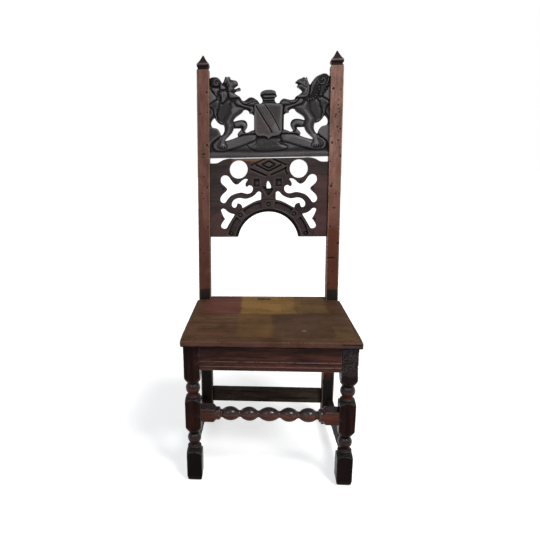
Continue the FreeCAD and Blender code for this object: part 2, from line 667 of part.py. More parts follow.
def finial():
    """Groove, band and hollow sided spire, as squared frusta stacked on the raked shaft."""
    sunk = "post_width - 2 * groove_depth"
    levels = [("post_width", "post_shaft"), (sunk, "post_shaft + groove_depth"),
              (sunk, "post_shaft + groove_height - groove_depth / 2"),
              ("post_width", "post_shaft + groove_height"), ("post_width", "band_top")]
    for width, rise in SPIRE_SHARES:
        levels.append(("post_width * %s" % width, "band_top + spire_height * %s" % rise))
    levels.append(("spire_tip", "band_top + spire_height"))
    pieces = []
    for number, (low, high) in enumerate(zip(levels, levels[1:]), start=1):
        piece = frustum("finial_%d" % number, low[0], high[0], (low[1], high[1]))
        pieces.append(put(piece, "rear_spacing / 2", "post_depth / 2", "0"))
    return pieces


def board_heights(board, shares):
    """Two heights of a board of the back, as shares of its own height."""
    return tuple("%s_bottom + %s_height * %s" % (board, board, share) for share in shares)


def board_pegs(board, shares):
    """Pegs through the face of a post into a board's tenon, drawn before the back leans."""
    return pegged(board + "_peg", "panel_peg", "0", "y", 1,
                  [("post_inner + panel_tenon / 2", "0", height)
                   for height in board_heights(board, shares)])


crest_pegs, crest_holes = board_pegs("crest", CREST_PEG_SHARES)
arched_pegs, arched_holes = board_pegs("arched", ARCHED_PEG_SHARES)


def rear_posts():
    """Posts sawn with a bend at the seat, mortised for rails, stretchers and boards."""
    shaft = block("post_raked_shaft", ("post_inner", "post_outer"), ("0", "post_depth"),
                  ("0", "post_shaft"))
    cuts = crest_holes + arched_holes
    for board, shares in (("crest", CREST_TENON_SHARES), ("arched", ARCHED_TENON_SHARES)):
        cuts.append(block(
            board + "_mortise",
            ("post_inner - overrun", "post_inner + panel_tenon + mortise_relief"),
            centred(board + "_axis", "panel_tenon_thickness + 2 * joint_gap"),
            eased(board_heights(board, shares))))
    upper = lean(cut("post_upper", fuse("post_upper_form", [shaft] + finial()), cuts))
    foot = block("post_foot", ("post_inner", "post_outer"), ("post_face", "post_back"),
                 ("0", "seat_height"))
    cuts = [
        cross_tenons("post_rear_mortise", "post_inner + rear_tenon", "rear_rail_axis",
                     RAIL_TENON, True),
        cross_tenons("post_stretcher_mortise", "post_inner + rear_tenon",
                     "rear_stretcher_axis", LOW_REAR_TENON, True),
        side_tenons("post_side_mortise", "side_rail_line", RAIL_TENON, True),
        side_tenons("post_low_mortise", "side_stretcher_line", LOW_SIDE_TENON, True),
    ]
    cuts += side_rear_holes + rear_rail_holes + rear_stretcher_holes + low_rear_holes
    right = cut("rear_post_right", fuse("post_form", [foot, upper]), cuts)
    return {"rear_post_right": right, "rear_post_left": mirror("rear_post_left", right)}


def rail_section(outward):
    """The moulded section of a rail: two beads below a plain face. Outward is 1 or -1."""
    def corner(depth, height):
        return ("%d * (%s)" % (outward, depth), height)

    back = "-rail_thickness / 2"
    face = "rail_thickness / 2 - bead_proud"
    strokes = [[corner(back, "0")], [corner(face, "0")]]
    for bead in ("lower_bead", "upper_bead"):
        strokes.append([corner(face, "%s - bead_height / 2" % bead)])
        strokes.append([corner("rail_thickness / 2", bead),
                        corner(face, "%s + bead_height / 2" % bead)])
    return strokes + [[corner(face, "rail_height")], [corner(back, "rail_height")]]


def front_seat_rail():
    """The moulded front rail with a tenon at each end."""
    body = doc.addObject("PartDesign::Body", "front_rail_form")
    length = body.newObject("PartDesign::Pad", "front_rail_length")
    length.Profile = sketch_in(body, "front_rail_section", "YZ_Plane", rail_section(-1))
    length.SideType = "Symmetric"
    bind(length, Length="2 * leg_inner")
    put(body, "0", "front_rail_axis", "rail_bottom")
    tenons = cross_tenons("front_rail_tenons", "leg_inner + leg_tenon", "front_rail_axis",
                          RAIL_TENON, False)
    rail = cut("front_seat_rail", fuse("front_rail_blank", [body, tenons]),
               both_sides(front_rail_holes) + seat_front_holes)
    return {"front_seat_rail": rail}


def rear_seat_rail():
    """The plain rear rail with a tenon at each end."""
    bar = block("rear_rail_bar", ("-post_inner", "post_inner"),
                centred("rear_rail_axis", "rail_thickness"), RAIL)
    tenons = cross_tenons("rear_rail_tenons", "post_inner + rear_tenon", "rear_rail_axis",
                          RAIL_TENON, False)
    rail = cut("rear_seat_rail", fuse("rear_rail_blank", [bar, tenons]),
               both_sides(rear_rail_holes) + seat_rear_holes)
    return {"rear_seat_rail": rail}


def splayed_prism(label, strokes, start, end):
    """A section drawn looking back, swept along the splay of the right side."""
    run = "((%s) - (%s))" % (end, start)
    section = sketch_free(label + "_section", strokes)
    prism = doc.addObject("Part::Extrusion", label)
    prism.Base = section
    prism.DirMode = "Custom"
    prism.Solid = True
    prism.Dir = Vector(-value("splay"), 1, 0)
    prism.setExpression("Dir.x", bound("-splay"))
    bind(prism, LengthFwd="%s * sqrt(1 + splay ^ 2)" % run)
    return prism


def side_seat_rails():
    """The moulded side rails, which follow the splay of the frame."""
    bar = splayed_prism("side_rail_bar", rail_section(1), "leg_back", "post_face")
    put(bar, "side_rail_line", "leg_back", "rail_bottom")
    tenons = side_tenons("side_rail_tenons", "side_rail_line", RAIL_TENON, False)
    right = cut("side_seat_rail_right", fuse("side_rail_blank", [bar, tenons]),
                side_front_holes + side_rear_holes + seat_side_holes)
    return {"side_seat_rail_right": right,
            "side_seat_rail_left": mirror("side_seat_rail_left", right)}


def front_stretcher():
    """Square ends with tenons, and five bobbins between rings, turned in one bar."""
    ring_out = "leg_inner - end_block - block_shoulder"
    ring_in = "%s - ring_width" % ring_out
    first = "middle_bobbin / 2"
    second = "%s + second_bobbin" % first
    third = "%s + outer_bobbin" % second
    cove = "neck_cove / 2"
    half = [
        [("leg_inner", "stretcher_section")],
        [("leg_inner - end_block", "stretcher_section")],
        [("leg_inner - end_block", "end_reach")],
        [(ring_out, "ring_radius")],
        [("%s - ring_width / 2" % ring_out, "ring_radius + collar_round"),
         (ring_in, "ring_radius")],
        [("(%s + %s) / 2" % (ring_in, third), "end_neck"), (third, "bobbin_edge")],
        [("(%s + %s) / 2" % (third, second), "bobbin_radius"),
         ("%s + %s" % (second, cove), "bobbin_edge")],
        [(second, "bobbin_neck"), ("%s - %s" % (second, cove), "bobbin_edge")],
        [("(%s + %s) / 2" % (second, first), "bobbin_radius"),
         ("%s + %s" % (first, cove), "bobbin_edge")],
        [(first, "bobbin_neck"), ("%s - %s" % (first, cove), "bobbin_edge")],
    ]
    strokes = [[("leg_inner", "0")]] + half
    corners = [corner for stroke in half for corner in stroke]
    other = [("-(%s)" % across, radius) for across, radius in reversed(corners)]
    strokes.append([("0", "bobbin_radius"), other.pop(0)])
    for stroke in reversed(half[1:]):
        strokes.append([other.pop(0) for corner in stroke])
    strokes.append([("-leg_inner", "0")])
    side = centred("0", "stretcher_section")
    form = doc.addObject("Part::Common", "front_stretcher_form")
    form.Base = block("front_stretcher_blank", ("-leg_inner", "leg_inner"), side, side)
    form.Tool = turned("front_stretcher_turning", strokes, False)
    put(form, "0", "front_stretcher_axis", "stretcher_height")
    tenons = both_sides([block(
        "front_stretcher_tenon", ("leg_inner - tenon_root", "leg_inner + leg_tenon"),
        centred("front_stretcher_axis", "tenon_thickness"), FRONT_STRETCHER_TENON)])
    piece = cut("front_stretcher", fuse("front_stretcher_bar", [form] + tenons),
                both_sides(front_stretcher_holes))
    return {"front_stretcher": piece}


def low_stretchers():
    """The plain stretchers near the floor."""
    bar = side_bar("side_stretcher_bar", "side_stretcher_line", "stretcher_thickness",
                   ("leg_back", "post_face"), LOW_SIDE)
    tenons = side_tenons("side_stretcher_tenons", "side_stretcher_line", LOW_SIDE_TENON, False)
    right = cut("side_stretcher_right", fuse("side_stretcher_blank", [bar, tenons]),
                low_front_holes + low_rear_holes)
    cross = block("rear_stretcher_bar", ("-post_inner", "post_inner"),
                  centred("rear_stretcher_axis", "stretcher_thickness"), LOW_REAR)
    tenons = cross_tenons("rear_stretcher_tenons", "post_inner + rear_tenon",
                          "rear_stretcher_axis", LOW_REAR_TENON, False)
    rear = cut("rear_stretcher", fuse("rear_stretcher_blank", [cross, tenons]),
               both_sides(rear_stretcher_holes))
    return {"side_stretcher_right": right,
            "side_stretcher_left": mirror("side_stretcher_left", right),
            "rear_stretcher": rear}


def seat_boards():
    """Two boards across the frame, moulded along the front and sides, notched round posts."""
    edge = [
        [("-3 * leg_outer", "0")],
        [("-under_reach", "0")],
        [("-under_reach * rounding", "under_rise * rounding"), ("0", "under_rise")],
        [("0", "board_thickness - nose_radius")],
        [("-nose_radius * rounding", "board_thickness - nose_radius * rounding"),
         ("-nose_radius", "board_thickness")],
        [("-field_margin", "board_thickness")],
        [("-field_margin", "seat_thickness")],
        [("-3 * leg_outer", "seat_thickness")],
    ]
    side = splayed_prism("seat_side_edge", edge, "seat_front - overrun", "seat_back + overrun")
    put(side, "leg_outer + seat_side_overhang + splay * (leg_back - seat_front + overrun)",
        "seat_front - overrun", "leg_height")
    body = doc.addObject("PartDesign::Body", "seat_front_edge")
    length = body.newObject("PartDesign::Pad", "seat_front_length")
    length.Profile = sketch_in(body, "seat_front_section", "YZ_Plane", [
        [("-(%s)" % corner[0], corner[1]) for corner in stroke] for stroke in edge])
    length.SideType = "Symmetric"
    bind(length, Length="2 * (leg_outer + seat_side_overhang + overrun)")
    put(body, "0", "seat_front", "leg_height")
    across = ("-(leg_outer + seat_side_overhang)", "leg_outer + seat_side_overhang")
    sides = [side, mirror("seat_side_edge_left", side)]
    spans = {"front": ("seat_front", "seam_line"), "rear": ("seam_line + seat_fit", "seat_back")}
    plan = {}
    for name, span in spans.items():
        board = doc.addObject("Part::MultiCommon", "seat_%s_form" % name)
        stock = block("seat_%s_blank" % name, across, span, ("leg_height", "seat_height"))
        board.Shapes = [stock] + sides + ([body] if name == "front" else [])
        plan[name] = board
    notch = block("seat_notch", ("post_inner - seat_fit", "leg_outer + overrun"),
                  ("post_face - seat_fit", "seat_back + overrun"),
                  ("leg_height - overrun", "seat_height + overrun"))
    side_holes = both_sides(seat_side_holes)
    front = cut("seat_board_front", plan["front"], seat_front_holes + side_holes)
    rear = cut("seat_board_rear", plan["rear"],
               seat_rear_holes + side_holes + both_sides([notch]))
    return {"seat_board_front": front, "seat_board_rear": rear}


def back_board(board, outer, holes, cuts):
    """A pierced board of the back, tenoned into both posts, leaning with them."""
    thickness = value(board + "_thickness")
    face = Part.makeFace([outer] + holes, "Part::FaceMakerBullseye")
    face.translate(Vector(0, value("panel_setback"), 0))
    carved = doc.addObject("Part::Feature", board + "_carving")
    carved.Shape = face.extrude(Vector(0, thickness, 0))
    shares = CREST_TENON_SHARES if board == "crest" else ARCHED_TENON_SHARES
    tenon = block(board + "_tenon", ("post_inner - tenon_root", "post_inner + panel_tenon"),
                  centred(board + "_axis", "panel_tenon_thickness"),
                  board_heights(board, shares))
    blank = fuse(board + "_blank", [carved] + both_sides([tenon]))
    return lean(cut(board + "_board", blank, cuts))


def crest():
    """The crest: two winged beasts that hold a shield, pierced through and carved."""
    size = (value("post_inner"), value("crest_bottom"), value("crest_height"))
    outer = outline(SKYLINE_SHARES + [[(-1, 0)], [(1, 0)]], *size)
    holes = [outline(shares, *size, mirrored=flip)
             for shares in (TAIL_GAP_SHARES, BODY_GAP_SHARES, LEG_GAP_SHARES)
             for flip in (False, True)]
    return {"crest_panel": back_board("crest", outer, holes, both_sides(crest_holes))}


def arched():
    """The arched board: an open arch below strapwork with round and scrolled holes."""
    size = (value("post_inner"), value("arched_bottom"), value("arched_height"))
    corners = [[(-across, rise) for across, rise in stroke] for stroke in TOP_DIP_SHARES]
    back = [corner for stroke in corners for corner in stroke][::-1]
    outer = outline(TOP_DIP_SHARES + [[back[0]], back[1:], [(-1, 0)], [(1, 0)]], *size)
    holes = [outline(shares, *size, mirrored=flip)
             for shares in (SCROLL_GAP_SHARES, BIRD_GAP_SHARES, FOOT_GAP_SHARES)
             for flip in (False, True)]
    holes.append(outline(WEDGE_GAP_SHARES, *size))
    through = "arched_thickness + 2 * overrun"
    arch = rod("arch_opening", "arch_radius", through,
               ("0", "panel_setback - overrun", "arched_bottom - arch_drop"), "y")
    rosette = rod("rosette_hole", "rosette_radius", through,
                  ("rosette_across", "panel_setback - overrun", "arched_bottom + rosette_rise"),
                  "y")
    cuts = both_sides(arched_holes) + [arch] + both_sides([rosette])
    return {"arched_panel": back_board("arched", outer, holes, cuts)}


nodes = {}
for build in (front_legs, rear_posts, front_seat_rail, rear_seat_rail, side_seat_rails,
              front_stretcher, low_stretchers, seat_boards, crest, arched):
    nodes.update(build())
nodes.update({
    "front_rail_pegs": group("front_rail_pegs", both_sides(front_rail_pegs)),
    "side_rail_pegs": group("side_rail_pegs", both_sides(side_front_pegs + side_rear_pegs)),
    "rear_rail_pegs": group("rear_rail_pegs", both_sides(rear_rail_pegs)),
    "front_stretcher_pegs": group("front_stretcher_pegs", both_sides(front_stretcher_pegs)),
    "side_stretcher_pegs": group("side_stretcher_pegs",
                                 both_sides(low_front_pegs + low_rear_pegs)),
    "rear_stretcher_pegs": group("rear_stretcher_pegs", both_sides(rear_stretcher_pegs)),
    "crest_pegs": lean(group("crest_pegs", both_sides(crest_pegs))),
    "arched_panel_pegs": lean(group("arched_panel_pegs", both_sides(arched_pegs))),
    "seat_pegs": group("seat_pegs",
                       seat_front_pegs + both_sides(seat_side_pegs) + seat_rear_pegs),
})
doc.recompute()

for item in doc.Objects:
    if "Invalid" in item.State or "Error" in item.State:
        raise RuntimeError("%s did not build: %s" % (item.Label, item.State))
os.makedirs("parts", exist_ok=True)
total = 0
for name, item in nodes.items():
    shape = item.Shape
    if shape.isNull() or not shape.isValid():
        raise RuntimeError("%s has no valid shape" % name)
    if not shape.Solids:
        raise RuntimeError("%s holds no solid" % name)
    if not name.endswith("pegs") and len(shape.Solids) != 1:
        raise RuntimeError("%s is not in one piece: %d" % (name, len(shape.Solids)))
    shape.exportStep("parts/%s.step" % name)
    box = shape.optimalBoundingBox()
    total += shape.Volume
    print("%-22s solids %d faces %d x %.1f %.1f y %.1f %.1f z %.1f %.1f" % (
        name, len(shape.Solids), len(shape.Faces), box.XMin, box.XMax, box.YMin, box.YMax,
        box.ZMin, box.ZMax))
print("pieces", len(nodes), "wood", round(total / 1e6, 2), "litres")
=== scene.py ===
# %% [markdown]
# # A joined wainscot chair
#
# The chair comes in as a fixed frame of oak pieces. This lesson dresses it: it sets the
# camera and the studio, wears down the edges of every piece but the pegs, carves the two
# boards of the back, and gives each kind of piece its own old oak.

# %% Load the frame
import math

import bpy
import numpy as np
from mathutils import Matrix, Vector


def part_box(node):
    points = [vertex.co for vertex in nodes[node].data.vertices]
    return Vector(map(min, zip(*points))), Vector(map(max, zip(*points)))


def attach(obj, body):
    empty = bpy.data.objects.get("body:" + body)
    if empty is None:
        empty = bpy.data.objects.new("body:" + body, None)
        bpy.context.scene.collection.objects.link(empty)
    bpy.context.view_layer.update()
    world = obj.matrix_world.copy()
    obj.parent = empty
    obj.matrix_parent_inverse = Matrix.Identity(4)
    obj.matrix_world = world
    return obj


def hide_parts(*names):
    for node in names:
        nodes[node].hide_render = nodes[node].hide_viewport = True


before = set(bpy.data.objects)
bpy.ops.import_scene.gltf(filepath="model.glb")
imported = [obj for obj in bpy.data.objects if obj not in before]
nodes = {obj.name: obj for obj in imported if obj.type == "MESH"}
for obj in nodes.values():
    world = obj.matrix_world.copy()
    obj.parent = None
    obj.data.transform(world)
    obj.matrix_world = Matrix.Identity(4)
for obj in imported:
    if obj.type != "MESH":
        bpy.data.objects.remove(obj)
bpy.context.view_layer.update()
scene = bpy.context.scene
print("nodes", len(nodes))

# %% [markdown]
# ## Camera
#
# The camera stands a little to the left of the chair and looks down at it. A lens's axis need
# not meet the middle of the picture, because a picture may have been cropped. Here it is taken
# to lie a little to one side, and that is what the small shift is for.

# %% Place the camera
EYE = Vector((-0.03807, -1.63628, 1.01849))
YAW, PITCH, ROLL = -0.1022, 0.2947, -0.0258
FOCAL_PIXELS, FRAME_PIXELS = 568.75, 540.0
CENTRE = (200.06, 286.90)
SENSOR = 36.0

look = Vector((math.sin(YAW) * math.cos(PITCH), math.cos(YAW) * math.cos(PITCH), -math.sin(PITCH)))
right = Vector((math.cos(YAW), -math.sin(YAW), 0.0))
above = right.cross(look)
right_rolled = math.cos(ROLL) * right + math.sin(ROLL) * above
above_rolled = -math.sin(ROLL) * right + math.cos(ROLL) * above

camera_data = bpy.data.cameras.new("camera")
camera_data.sensor_fit = "HORIZONTAL"
camera_data.sensor_width = SENSOR
camera_data.lens = SENSOR * FOCAL_PIXELS / FRAME_PIXELS
camera_data.shift_x = (FRAME_PIXELS / 2 - CENTRE[0]) / FRAME_PIXELS
camera_data.shift_y = (CENTRE[1] - FRAME_PIXELS / 2) / FRAME_PIXELS
camera_data.clip_start = 0.05
camera = bpy.data.objects.new("camera", camera_data)
turn = Matrix((right_rolled, above_rolled, -look)).transposed().to_4x4()
camera.matrix_world = Matrix.Translation(EYE) @ turn
scene.collection.objects.link(camera)
scene.camera = camera
print("lens", round(camera_data.lens, 1), "mm")

# %% [markdown]
# ## Studio
#
# The chair stands on a white floor in a white studio, as in a catalogue. Dark oak would look
# grey and flat if that white lit it from all round, so the white is for the camera and for
# mirror reflections alone. One soft lamp, above and on the right, does most of the work: it
# rakes over the carving, and leaves the hollows dark. A weak and cooler one on the left keeps
# the shadows from going black.


# %% Helpers for materials and lamps
def paint(name):
    """An empty node material and its two ends."""
    material = bpy.data.materials.new(name)
    material.use_nodes = True
    tree = material.node_tree
    tree.nodes.clear()
    output = tree.nodes.new("ShaderNodeOutputMaterial")
    shader = tree.nodes.new("ShaderNodeBsdfPrincipled")
    tree.links.new(shader.outputs[0], output.inputs["Surface"])
    return material, tree, shader


def set_inputs(node, values):
    """Write plain values into a node's sockets."""
    for name, value in values.items():
        node.inputs[name].default_value = value


def area_light(name, place, target, size, power):
    """A rectangular soft light that looks at a target."""
    data = bpy.data.lights.new(name, "AREA")
    data.shape = "RECTANGLE"
    data.size, data.size_y = size
    data.energy = power
    item = bpy.data.objects.new(name, data)
    item.location = place
    item.rotation_euler = (Vector(target) - Vector(place)).to_track_quat("-Z", "Y").to_euler()
    scene.collection.objects.link(item)
    return data


def seen_directly(tree):
    """One for camera, mirror and glass rays, and nothing for the light that falls on things."""
    path = tree.nodes.new("ShaderNodeLightPath")
    total = path.outputs["Is Camera Ray"]
    for name in ("Is Glossy Ray", "Is Transmission Ray"):
        node = tree.nodes.new("ShaderNodeMath")
        node.operation = "MAXIMUM"
        tree.links.new(total, node.inputs[0])
        tree.links.new(path.outputs[name], node.inputs[1])
        total = node.outputs[0]
    return total


# %% Floor
FLOOR_REACH = 8
WHITE = (1.0, 1.0, 1.0, 1.0)
NEAR, FAR = 0.5, 1.5
GLOW_NEAR = 0.62

corners = [(x * FLOOR_REACH, y * FLOOR_REACH, 0) for x, y in ((-1, -1), (1, -1), (1, 1), (-1, 1))]
floor_mesh = bpy.data.meshes.new("floor")
floor_mesh.from_pydata(corners, [], [(0, 1, 2, 3)])
floor = bpy.data.objects.new("floor", floor_mesh)
scene.collection.objects.link(floor)
floor_paint, floor_tree, floor_shader = paint("floor_white")
set_inputs(floor_shader, {"Base Color": (0.75, 0.75, 0.75, 1.0), "Roughness": 0.8,
                          "Specular IOR Level": 0.0, "Emission Color": WHITE})
spot = floor_tree.nodes.new("ShaderNodeTexCoord")
length = floor_tree.nodes.new("ShaderNodeVectorMath")
length.operation = "LENGTH"
floor_tree.links.new(spot.outputs["Object"], length.inputs[0])
fade = floor_tree.nodes.new("ShaderNodeMapRange")
set_inputs(fade, {"From Min": NEAR, "From Max": FAR, "To Min": GLOW_NEAR, "To Max": 1.0})
floor_tree.links.new(length.outputs["Value"], fade.inputs["Value"])
glow = floor_tree.nodes.new("ShaderNodeMath")
glow.operation = "MULTIPLY"
floor_tree.links.new(fade.outputs["Result"], glow.inputs[0])
floor_tree.links.new(seen_directly(floor_tree), glow.inputs[1])
floor_tree.links.new(glow.outputs[0], floor_shader.inputs["Emission Strength"])
floor_mesh.materials.append(floor_paint)
print("floor", 2 * FLOOR_REACH, "m square")

# %% World and lamps
WORLD_ON_OAK = 0.26

world = bpy.data.worlds.new("studio")
world.use_nodes = True
scene.world = world
background = world.node_tree.nodes["Background"]
background.inputs["Color"].default_value = WHITE
level = world.node_tree.nodes.new("ShaderNodeMapRange")
set_inputs(level, {"To Min": WORLD_ON_OAK, "To Max": 1.0})
world.node_tree.links.new(seen_directly(world.node_tree), level.inputs["Value"])
world.node_tree.links.new(level.outputs["Result"], background.inputs["Strength"])

key = area_light("key", (1.35, -1.75, 2.85), (0.0, 0.0, 0.75), (1.1, 0.9), 105)
sky = area_light("sky", (-1.3, -2.3, 2.2), (0.0, 0.0, 0.4), (1.1, 0.5), 19)
sky.color = (0.82, 0.91, 1.0)
print("lamps", key.energy, "and", sky.energy, "watts")

scene.view_settings.view_transform = "Standard"

# %% [markdown]
# ## Wood pieces that look sawn, turned and worn
#
# A CAD solid has knife sharp corners. Old oak hasn't: hands, brooms and shoes round every
# arris. One way is a Bevel modifier, but it gives each edge the same clean width. Here a copy
# of the solid is remeshed into small even faces and smoothed, which rounds the corners by
# about a voxel, and then low dents are pressed into it with noise. The copy stands for the CAD
# node, which stays hidden and unchanged.

# %% Names and sizes that the cells below share
SEAT_THICKNESS = 0.021
POST_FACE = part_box("rear_post_left")[0][1]
SEAT_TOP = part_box("front_leg_left")[1][2] + SEAT_THICKNESS
RAKE = math.radians(8.1)
print("face of the posts", round(POST_FACE, 4), "seat top", round(SEAT_TOP, 4))


# %% Points of a mesh, and noise, as numbers
NOISE_CELLS = 32
NOISE_START = 100.0


def points_of(mesh):
    """The vertices of a mesh as an array."""
    flat = np.empty(len(mesh.vertices) * 3)
    mesh.vertices.foreach_get("co", flat)
    return flat.reshape(-1, 3)


def set_points(mesh, points):
    """Write an array back as the vertices of a mesh."""
    mesh.vertices.foreach_set("co", points.ravel())
    mesh.update()


def normals_of(mesh):
    """The direction that each vertex faces."""
    flat = np.empty(len(mesh.vertices) * 3, np.float32)
    mesh.vertex_normals.foreach_get("vector", flat)
    return flat.reshape(-1, 3).astype(float)


def soft_noise(points, size, seed):
    """Smooth noise between -1 and 1 that changes over about this size in metres."""
    table = np.random.default_rng(seed).uniform(-1, 1, (NOISE_CELLS,) * 3)
    place = points / size + NOISE_START
    cell = np.floor(place).astype(int)
    part = place - cell
    part = part * part * (3 - 2 * part)
    total = np.zeros(len(points))
    for i in (0, 1):
        for j in (0, 1):
            for k in (0, 1):
                weight = np.abs(1 - i - part[:, 0]) * np.abs(1 - j - part[:, 1])
                weight = weight * np.abs(1 - k - part[:, 2])
                index = (cell + (i, j, k)) % NOISE_CELLS
                total += weight * table[index[:, 0], index[:, 1], index[:, 2]]
    return total


def mark_with(mesh, name, values):
    """Store one number for each vertex, which a material can read by its name."""
    mark = mesh.attributes.new(name, "FLOAT", "POINT")
    mark.data.foreach_set("value", values.astype(np.float32))


def mark_wear(mesh, voxel, passes=2):
    """Store how far each vertex bulges out of its neighbours, for edge wear and dirt."""
    points = points_of(mesh)
    pairs = np.empty(len(mesh.edges) * 2, int)
    mesh.edges.foreach_get("vertices", pairs)
    one, other = pairs[::2], pairs[1::2]
    count = np.maximum(np.bincount(pairs, minlength=len(points)), 1)

    def spread(values):
        total = np.bincount(one, values[other], len(points))
        return (total + np.bincount(other, values[one], len(points))) / count

    around = np.stack([spread(points[:, axis]) for axis in range(3)], 1)
    bulge = np.sum((points - around) * normals_of(mesh), axis=1) / voxel
    for turn in range(passes):
        bulge = (bulge + spread(bulge)) / 2
    mark_with(mesh, "bulge", np.clip(bulge, -0.5, 0.5))


def on_rake(points):
    """Millimetres across, up the raked face of the posts, and behind it."""
    out = (points[:, 1] - POST_FACE) * 1000
    rise = (points[:, 2] - SEAT_TOP) * 1000
    return (points[:, 0] * 1000, out * math.sin(RAKE) + rise * math.cos(RAKE),
            out * math.cos(RAKE) - rise * math.sin(RAKE))


# %% A worn copy of a CAD node
# Where the wood has decayed: the middle of the place, its reach each way, and how deep.
DECAY = {"front_leg_right": ((0.212, -0.212, 0.388), (0.035, 0.032, 0.043), 0.0024)}
DENT_SIZES = (0.017, 0.006)
BITE_SIZES = (0.009, 0.0045)


def worn_copy(name, voxel, passes, dents=0.0003):
    """Remesh, smooth and dent a copy of a CAD node, and let the copy stand for it."""
    source = nodes[name]
    piece = bpy.data.objects.new(name + "_worn", source.data.copy())
    piece.data.materials.clear()
    scene.collection.objects.link(piece)
    remesh = piece.modifiers.new("grain_of_faces", "REMESH")
    remesh.mode = "VOXEL"
    remesh.voxel_size = voxel
    smooth = piece.modifiers.new("wear", "SMOOTH")
    smooth.factor = 0.5
    smooth.iterations = passes
    ready = piece.evaluated_get(bpy.context.evaluated_depsgraph_get())
    mesh = bpy.data.meshes.new_from_object(ready)
    piece.modifiers.clear()
    piece.data = mesh
    points = points_of(mesh)
    low = soft_noise(points, DENT_SIZES[0], 3) + soft_noise(points, DENT_SIZES[1], 4)
    depth = dents * np.clip(low, 0, 2)
    if name in DECAY:
        centre, reach, bite = DECAY[name]
        gap = np.abs((points - centre) / reach).max(axis=1)
        bites = (np.abs(soft_noise(points, BITE_SIZES[0], 7))
                 + np.abs(soft_noise(points, BITE_SIZES[1], 8)))
        depth += bite * bites * np.clip((1.1 - gap) / 0.2, 0, 1)
    set_points(mesh, points - normals_of(mesh) * depth[:, None])
    mark_wear(mesh, voxel)
    mesh.shade_smooth()
    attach(piece, "root")
    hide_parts(name)
    return piece


# %% Copies of the legs, posts, rails, stretchers and seat boards
pieces = {}
for name, voxel, passes in (
        ("front_leg_left", 0.0013, 2), ("front_leg_right", 0.0013, 2),
        ("rear_post_left", 0.0018, 2), ("rear_post_right", 0.0018, 2),
        ("front_seat_rail", 0.0011, 1), ("rear_seat_rail", 0.002, 2),
        ("side_seat_rail_left", 0.0016, 2), ("side_seat_rail_right", 0.0016, 2),
        ("front_stretcher", 0.0012, 3), ("rear_stretcher", 0.002, 2),
        ("side_stretcher_left", 0.002, 2), ("side_stretcher_right", 0.002, 2),
        ("seat_board_front", 0.0014, 2), ("seat_board_rear", 0.0014, 2)):
    pieces[name] = worn_copy(name, voxel, passes)
print("worn pieces", len(pieces), "vertices", sum(len(p.data.vertices) for p in pieces.values()))

# %% [markdown]
# ### The joint in the seat
#
# The two seat boards have a little play between them, so that they can be put together. On
# the old chair the joint is a tight, dirty line. The edges of both copies are drawn together
# there, fading out over two centimetres, and the line itself is marked as a hollow.

# %% Close the joint of the seat
SEAM_REACH, SEAM_LINE, SEAM_DIRT = 0.02, 0.002, -0.08
SEAM_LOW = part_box("seat_board_front")[1][1]
SEAM_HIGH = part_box("seat_board_rear")[0][1]
shut = (SEAM_HIGH - SEAM_LOW) / 2
for name, line, way in (("seat_board_front", SEAM_LOW, 1), ("seat_board_rear", SEAM_HIGH, -1)):
    mesh = pieces[name].data
    points = points_of(mesh)
    gap = np.abs(points[:, 1] - line)
    points[:, 1] += way * shut * np.clip(1 - gap / SEAM_REACH, 0, 1)
    set_points(mesh, points)
    bulge = np.empty(len(points), np.float32)
    mesh.attributes["bulge"].data.foreach_get("value", bulge)
    bulge[gap < SEAM_LINE] = SEAM_DIRT
    mesh.attributes["bulge"].data.foreach_set("value", bulge)
print("play taken out of the seat's joint", round(2000 * shut, 2), "mm")

# %% [markdown]
# ### Old nail holes and cuts
#
# The fronts of the posts have been nailed, bumped and bored. Noise would spread such marks
# evenly, and that looks like a pattern, so each one is listed: millimetres across, up the
# rake, and half its width and height. It is pressed in a little and stored for the finish,
# which fills it with dirt.

# %% Marks on the posts
MARK_DEPTH, MARK_REACH, SKIN = 0.0012, 1.9, 3
SCARS = {
    "rear_post_right": (
        (206.6, 596, 1.3, 1.6), (208.4, 585, 1.4, 1.4), (209.6, 575, 1.5, 1.4),
        (200, 568, 1.3, 2.0), (198, 562, 1.6, 1.3), (205, 532, 1.6, 1.6), (214.5, 526, 1.8, 1.6),
        (208.6, 519, 1.3, 1.3), (186, 505, 1.5, 1.3), (209.3, 492, 2.0, 1.3), (217, 446, 1.8, 2.4),
        (186, 429, 1.4, 1.3), (204.8, 333, 1.3, 1.2), (201, 289, 3.0, 1.1), (216, 179.5, 3.6, 1.4),
        (194.4, 134, 8.5, 1.5), (201, 90, 1.3, 1.3), (189, 53, 1.5, 1.2), (213, 470, 1.2, 1.2),
        (207, 610, 1.1, 1.1), (212, 640, 1.2, 1.1), (193, 364, 1.3, 1.2)),
    "rear_post_left": (
        (-211.6, 580, 2.2, 1.0), (-190, 584, 1.6, 1.0), (-202, 458, 3.0, 1.8),
        (-204, 449, 2.0, 1.0), (-202.7, 389, 2.0, 1.2), (-208, 338, 1.5, 1.0),
        (-203.4, 322, 1.3, 1.2), (-197, 313, 1.2, 1.0), (-216.3, 161, 1.6, 1.6),
        (-203.5, 148.5, 1.2, 1.0)),
}
for name, marks in SCARS.items():
    mesh = pieces[name].data
    points = points_of(mesh)
    across, up, deep = on_rake(points)
    depth = np.zeros(len(points))
    for x, y, half_width, half_height in marks:
        gap = np.hypot((across - x) / half_width, (up - y) / half_height)
        depth = np.maximum(depth, np.clip(MARK_REACH - gap, 0, 1))
    depth = depth * (deep < SKIN)
    points[:, 1] += MARK_DEPTH * depth
    set_points(mesh, points)
    mark_with(mesh, "scar", depth)
    print(name, "marks", len(marks))
